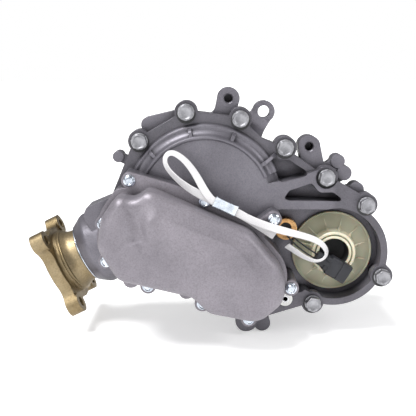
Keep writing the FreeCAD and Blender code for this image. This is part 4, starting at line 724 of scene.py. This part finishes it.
boltTurn = {"first": 0.21, "step": 0.9, "columns": 72}   # each hexagon stands at its own angle


# Point at a radius and an angle, in degrees, about a centre.
def onCircle(centre, radius, angle):
    return (centre[0] + radius * math.cos(math.radians(angle)),
            centre[1] + radius * math.sin(math.radians(angle)))


def boltPlaces(spec):
    return ([onCircle(ring, r, a) for r, a in spec.get("ringPolar", [])]
            + [onCircle(inputCentre, r, a) for r, a in spec.get("inputPolar", [])]
            + [(ring[0] + x, ring[1] + z) for x, z in spec.get("ringOffset", [])])


def boltProfile(spec):
    w, h, f = spec["washer"], spec["head"], spec["flats"] / 2
    r, length = spec["shank"], spec["length"]
    # radius, height above the seat, and 1 where the row follows the hexagon
    return [(0.01, -length, 0), (r - 0.7, -length, 0), (r, 1.0 - length, 0), (r, -0.02, 0),
            (w - 0.5, 0.0, 0), (w, 0.04 * h, 0), (w, 0.13 * h, 0), (w - 0.6, 0.19 * h, 0),
            (1.17 * f, 0.25 * h, 0), (1.155 * f, 0.29 * h, 1), (1.155 * f, 0.87 * h, 1),
            (1.09 * f, 0.94 * h, 1), (1.0 * f, 0.99 * h, 1), (0.93 * f, h, 0),
            (0.84 * f, 0.99 * h, 0), (0.74 * f, 0.93 * h, 0), (0.66 * f, 0.90 * h, 0),
            (0.01, 0.90 * h, 0)]


# Each row is a circle, or the lesser of it and the hexagon: half the flats over the cosine
# of the angle from the nearest flat's middle.
def makeBolts(node, spec):
    rows = np.array(boltProfile(spec))
    count = boltTurn["columns"]
    turn = np.linspace(0, 2 * np.pi, count, endpoint=False)
    allPoints, faces = [], []
    for index, (x, z) in enumerate(boltPlaces(spec)):
        spin = boltTurn["first"] + boltTurn["step"] * index
        wedge = np.mod(turn + spin, np.pi / 3) - np.pi / 6
        hexagon = spec["flats"] / 2 / np.cos(wedge)
        radius = np.where(rows[:, 2:3] > 0, np.minimum(rows[:, :1], hexagon), rows[:, :1])
        sign = spec["sign"]
        points = np.stack([x + radius * np.cos(turn),
                           np.broadcast_to(spec["seat"] + sign * rows[:, 1:2], radius.shape),
                           z - sign * radius * np.sin(turn)], axis=-1)
        faces += gridFaces(len(rows), count, first=len(allPoints) * len(rows) * count)
        allPoints.append(points)
    piece = makePiece(node + "Dressed", np.array(allPoints) * mm, faces, spec["finish"])
    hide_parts(node)
    return sharpEdges(faceOutward(piece), 28)


for node, spec in boltSpecs.items():
    makeBolts(node, spec)
print("bolts ready")


# Revolved pieces about a line along Y: profile (radius, y), angles in degrees.
def turnedPiece(name, centre, profile, finish, start=0.0, end=360.0, steps=180):
    profile = np.array(profile, float)
    closed = end - start >= 360.0
    turn = np.radians(np.linspace(start, end, steps, endpoint=not closed))
    points = np.stack([centre[0] + profile[None, :, 0] * np.cos(turn)[:, None],
                       np.broadcast_to(profile[None, :, 1], (steps, len(profile))),
                       centre[1] + profile[None, :, 0] * np.sin(turn)[:, None]], axis=-1)
    count = len(profile)
    faces = gridFaces(steps, count, closeRows=closed)
    if not closed:
        faces.append(list(range(count))[::-1])
        faces.append([(steps - 1) * count + i for i in range(count)])
    piece = makePiece(name, points * mm, faces, finish)
    return sharpEdges(faceOutward(piece), 32)


# The dome's stepped rim: foot crest, valley and lip, all rounded.
domeRim = {
    "start": 24.0, "end": 196.0,
    "profile": [(82.6, -113.4), (81.9, -116.6), (81.2, -118.4), (80.1, -119.4), (78.9, -119.6),
                (77.8, -119.2), (76.8, -118.9), (75.2, -119.3), (73.2, -120.7), (71.6, -122.2),
                (70.7, -124.4), (70.1, -126.4), (69.2, -127.3), (68.1, -127.5), (67.0, -127.1),
                (66.3, -126.3), (65.2, -125.5), (70.0, -118.0), (78.0, -113.2)]}
turnedPiece("domeSteppedRim", ring, domeRim["profile"], "castCase",
            domeRim["start"], domeRim["end"], 240)

# Dark ring under each main bolt, set a little low: the shade of its recess, not a part.
shadowRing = {"drop": 1.7, "inner": 7.0, "outer": 9.9, "back": -113.9, "front": -114.4,
              "chamfer": 0.3, "columns": 64}


# A flat ring revolved about each bolt's own axis, lowered by the drop.
def makeBoltShadows():
    s = shadowRing
    shoulder = s["outer"] - s["chamfer"]
    profile = np.array([(s["inner"], s["back"]), (shoulder, s["back"]),
                        (s["outer"], s["back"] - 0.2), (s["outer"], s["front"] + 0.2),
                        (shoulder, s["front"]), (s["inner"], s["front"])])
    steps = s["columns"]
    turn = np.linspace(0, 2 * np.pi, steps, endpoint=False)
    rings, faces = [], []
    for x, z in boltPlaces(boltSpecs["case_bolts"]):
        faces += gridFaces(steps, len(profile), closeRows=True,
                           first=len(rings) * steps * len(profile))
        rings.append(np.stack([
            x + profile[None, :, 0] * np.cos(turn)[:, None],
            np.broadcast_to(profile[None, :, 1], (steps, len(profile))),
            z - s["drop"] + profile[None, :, 0] * np.sin(turn)[:, None]], axis=-1))
    # painted shadow: black rings in the rubber finish stand for the shade in the bolts' recesses
    piece = makePiece("boltRecessShadowRings", np.array(rings) * mm, faces, "rubber")
    return sharpEdges(faceOutward(piece))


makeBoltShadows()

# The cover's swollen face.  Outline: the bulge's corners about the ring axis, rounded.
coverShape = {
    "corners": [(-85.0, 17.0, 11.0), (-70.0, 12.0, 14.0), (-54.0, 22.0, 14.0),
                (3.0, -3.0, 36.0), (45.0, -20.0, 24.0), (80.0, -61.0, 34.0),
                (78.0, -92.0, 22.0), (54.0, -113.0, 24.0), (4.0, -103.0, 20.0),
                (-13.0, -86.0, 16.0), (-86.0, -69.0, 18.0), (-106.0, -36.0, 20.0),
                (-101.0, -6.0, 20.0)],
    "face": -176.8, "edge": 9.0, "proud": 0.35, "swell": 2.8, "floor": -0.1,
    # the foot row is tucked in under the edge; waves reach this share at the shoulder
    "footIn": 0.8, "footBack": 3.0, "shoulderShare": 0.55, "fadeRows": 14.0,
    "edgeRows": 11, "innerRows": 60, "columns": 360,
    # soft swellings and dents: x, z about the ring axis, reach along and across, turn, height
    "waves": [(-36.0, -6.0, 36.0, 10.0, -26.0, 2.6), (-66.0, 9.0, 11.0, 8.0, 20.0, -4.4),
              (-86.0, 5.0, 14.0, 10.0, 10.0, 1.3), (-64.0, -14.0, 4.6, 13.0, 12.0, -4.0),
              (-53.0, -12.0, 5.2, 9.0, 0.0, 3.0), (-70.0, -25.0, 10.0, 3.6, 25.0, -2.6),
              (-20.0, -46.0, 40.0, 20.0, -20.0, 1.8), (50.0, -72.0, 20.0, 26.0, 10.0, 2.4),
              (16.0, -30.0, 30.0, 12.0, -28.0, -1.6), (-80.0, -52.0, 20.0, 12.0, -12.0, -2.8),
              (-4.0, -80.0, 16.0, 9.0, 30.0, -2.2)]}


# Rounded polygon: each corner gives way to an arc that touches both of its sides.
def roundedOutline(corners, arcSteps=16):
    points = []
    places = np.array([c[:2] for c in corners])
    for i, (x, z, radius) in enumerate(corners):
        here = places[i]
        back = places[i - 1] - here
        ahead = places[(i + 1) % len(corners)] - here
        back /= np.linalg.norm(back)
        ahead /= np.linalg.norm(ahead)
        half = 0.5 * math.acos(np.clip(back @ ahead, -1, 1))
        centre = here + (back + ahead) / np.linalg.norm(back + ahead) * radius / math.sin(half)
        first = here + back * radius / math.tan(half) - centre
        last = here + ahead * radius / math.tan(half) - centre
        for t in np.linspace(0, 1, arcSteps):
            spoke = first * (1 - t) + last * t
            points.append(centre + spoke / np.linalg.norm(spoke) * radius)
    points = np.array(points)
    closed = np.vstack([points, points[:1]])
    run = np.concatenate([[0], np.cumsum(np.linalg.norm(np.diff(closed, axis=0), axis=1))])
    even = np.linspace(0, run[-1], coverShape["columns"], endpoint=False)
    return np.stack([np.interp(even, run, closed[:, k]) for k in (0, 1)], axis=1)


# Height of the waves at each place: turned bell curves added up.
def coverWaves(places):
    total = np.zeros(places.shape[:-1])
    for x, z, along, across, turn, height in coverShape["waves"]:
        c, d = math.cos(math.radians(turn)), math.sin(math.radians(turn))
        u = (places[..., 0] - x) * c + (places[..., 1] - z) * d
        v = -(places[..., 0] - x) * d + (places[..., 1] - z) * c
        total += height * np.exp(-0.5 * ((u / along) ** 2 + (v / across) ** 2))
    return total


# Rows run from the edge's foot over a quarter round to the face and then shrink onto the
# middle; each point comes forward by the waves there, which fade in with the row.
def makeCoverSkin():
    s = coverShape
    line = roundedOutline(s["corners"])
    ahead = np.roll(line, -1, axis=0) - np.roll(line, 1, axis=0)
    ahead /= np.linalg.norm(ahead, axis=1)[:, None]
    inward = np.stack([-ahead[:, 1], ahead[:, 0]], axis=1)
    if np.sum((line.mean(axis=0) - line) * inward) < 0:
        inward = -inward
    # rim rows: the edge's quarter round, seen from its foot to the face
    lean = np.radians(np.linspace(0, 90, s["edgeRows"]))
    depth = s["edge"] * (1 - np.cos(lean))
    back = s["edge"] * (1 - np.sin(lean))
    rimPlaces = line[None] + inward[None] * (depth - s["proud"] * np.cos(lean))[:, None, None]
    rimHeight = s["face"] + back - s["proud"] * np.sin(lean)
    foot = line + inward * s["footIn"]
    centre = rimPlaces[-1].mean(axis=0)
    row = np.arange(1, s["innerRows"])
    share = (row / s["innerRows"])[:, None, None]
    inner = rimPlaces[-1][None] * (1 - share) + centre * share
    places = np.concatenate([foot[None], rimPlaces, inner])
    height = np.concatenate([[s["face"] + s["edge"] + s["footBack"]], rimHeight,
                             np.full(len(inner), s["face"] - s["proud"])])
    # waves fade in from the rim's shoulder
    shoulder = s["shoulderShare"]
    fade = np.concatenate([[0.0], np.sin(lean) ** 3 * shoulder,
                           shoulder + (1 - shoulder) * np.minimum(row / s["fadeRows"], 1.0)])
    swell = np.maximum(coverWaves(places) + s["swell"] * fade[:, None], s["floor"])
    y = height[:, None] - swell * fade[:, None]
    points = np.stack([ring[0] + places[..., 0], y, ring[1] + places[..., 1]], axis=-1)
    rows, count = points.shape[:2]
    faces = gridFaces(rows, count)
    faces.append([(rows - 1) * count + i for i in range(count)])
    piece = makePiece("coverSwell", points * mm, faces, "castCover")
    normals = np.empty(len(piece.data.polygons) * 3)
    piece.data.polygons.foreach_get("normal", normals)
    if normals[1::3].sum() > 0:   # the sheet is open, so its outer side is told by its normals
        piece.data.flip_normals()
    return sharpEdges(piece, 60)


makeCoverSkin()

# The cover's wall goes round the bolt beside it as a thin curved pocket.
pocketLining = {"bolt": 8, "inner": 7.0, "outer": 8.9, "top": -145.7, "roof": -158.9,
                "facing": -9.5, "spread": 58.0}


def makePocketLining():
    s = pocketLining
    profile = [(s["inner"], s["top"]), (s["inner"], s["roof"] + 0.8),
               (s["inner"] + 0.4, s["roof"]), (s["outer"], s["roof"]), (s["outer"], s["top"])]
    place = boltPlaces(boltSpecs["cover_bolts"])[s["bolt"]]
    turnedPiece("boltPocketLining", place, profile, "castCover",
                s["facing"] - s["spread"], s["facing"] + s["spread"], 48)


makePocketLining()
print("cover ready")

# Transit plug: bright collar, tapering ribs over the dished disc, and a black lining and cap in the bore, painted
# shade of the deep hole.
plugShape = {
    "ribs": 12, "first": 15.0, "inner": 21.5, "outer": 37.5, "thick": 3.8,
    "crest": -109.6, "fall": 9.6, "bend": 1.9, "narrowing": 0.8, "depth": 8.6, "stations": 14,
    "collar": [(16.2, -99.4), (16.2, -111.9), (16.7, -112.4), (18.4, -112.4), (18.9, -111.8),
               (19.1, -108.6), (19.9, -108.3), (20.2, -111.0), (20.8, -111.7), (22.6, -111.7),
               (23.4, -110.9), (23.9, -106.6), (24.6, -103.0), (25.6, -101.4), (25.6, -99.4)],
    "mouth": [(0.02, -92.6), (6.0, -92.6), (12.5, -93.0), (14.6, -94.4), (15.4, -97.0),
              (15.5, -107.0), (15.8, -110.2), (16.2, -109.6), (16.1, -96.0), (14.8, -91.8),
              (0.02, -91.8)]}


# Each rib falls from its crest to the disc as one minus a power of the way left, and
# narrows evenly; its lower corners lie a fixed depth behind the crest.
def makePlugRibs():
    s = plugShape
    # rib section runs out along (radius, y): a tall root that sweeps down to the disc
    along = np.linspace(0, 1, s["stations"])
    radius = s["inner"] + (s["outer"] - s["inner"]) * along
    top = s["crest"] + s["fall"] * (1 - (1 - along) ** s["bend"])
    narrow = 1.0 - s["narrowing"] * along
    half = s["thick"] / 2 * np.array([-1.0, -0.55, 0.55, 1.0])
    lift = np.array([s["depth"], 0.0, 0.0, s["depth"]])
    points, faces = [], []
    for index in range(s["ribs"]):
        angle = math.radians(s["first"] + 360.0 * index / s["ribs"])
        out = np.array([math.cos(angle), 0, math.sin(angle)])
        side = np.array([-math.sin(angle), 0, math.cos(angle)])
        y = np.array([0, 1.0, 0])
        grid = (radius[:, None, None] * out + (narrow[:, None] * half)[:, :, None] * side
                + (top[:, None, None] + lift[None, :, None]) * y)
        faces += gridFaces(len(along), 4, first=index * len(along) * 4)
        base = index * len(along) * 4
        faces.append([base + 3, base + 2, base + 1, base])
        faces.append([base + (len(along) - 1) * 4 + k for k in range(4)])
        points.append(grid)
    piece = makePiece("plugRibs", np.array(points) * mm, faces, "plugRib")
    return faceOutward(piece)


makePlugRibs()
turnedPiece("plugCollar", inputCentre, plugShape["collar"], "plugRib")
# painted shade: the bore's lining and cap are black for the shade deep inside it
turnedPiece("boreShadeLining", inputCentre, plugShape["mouth"], "rubber")
print("plug ready")
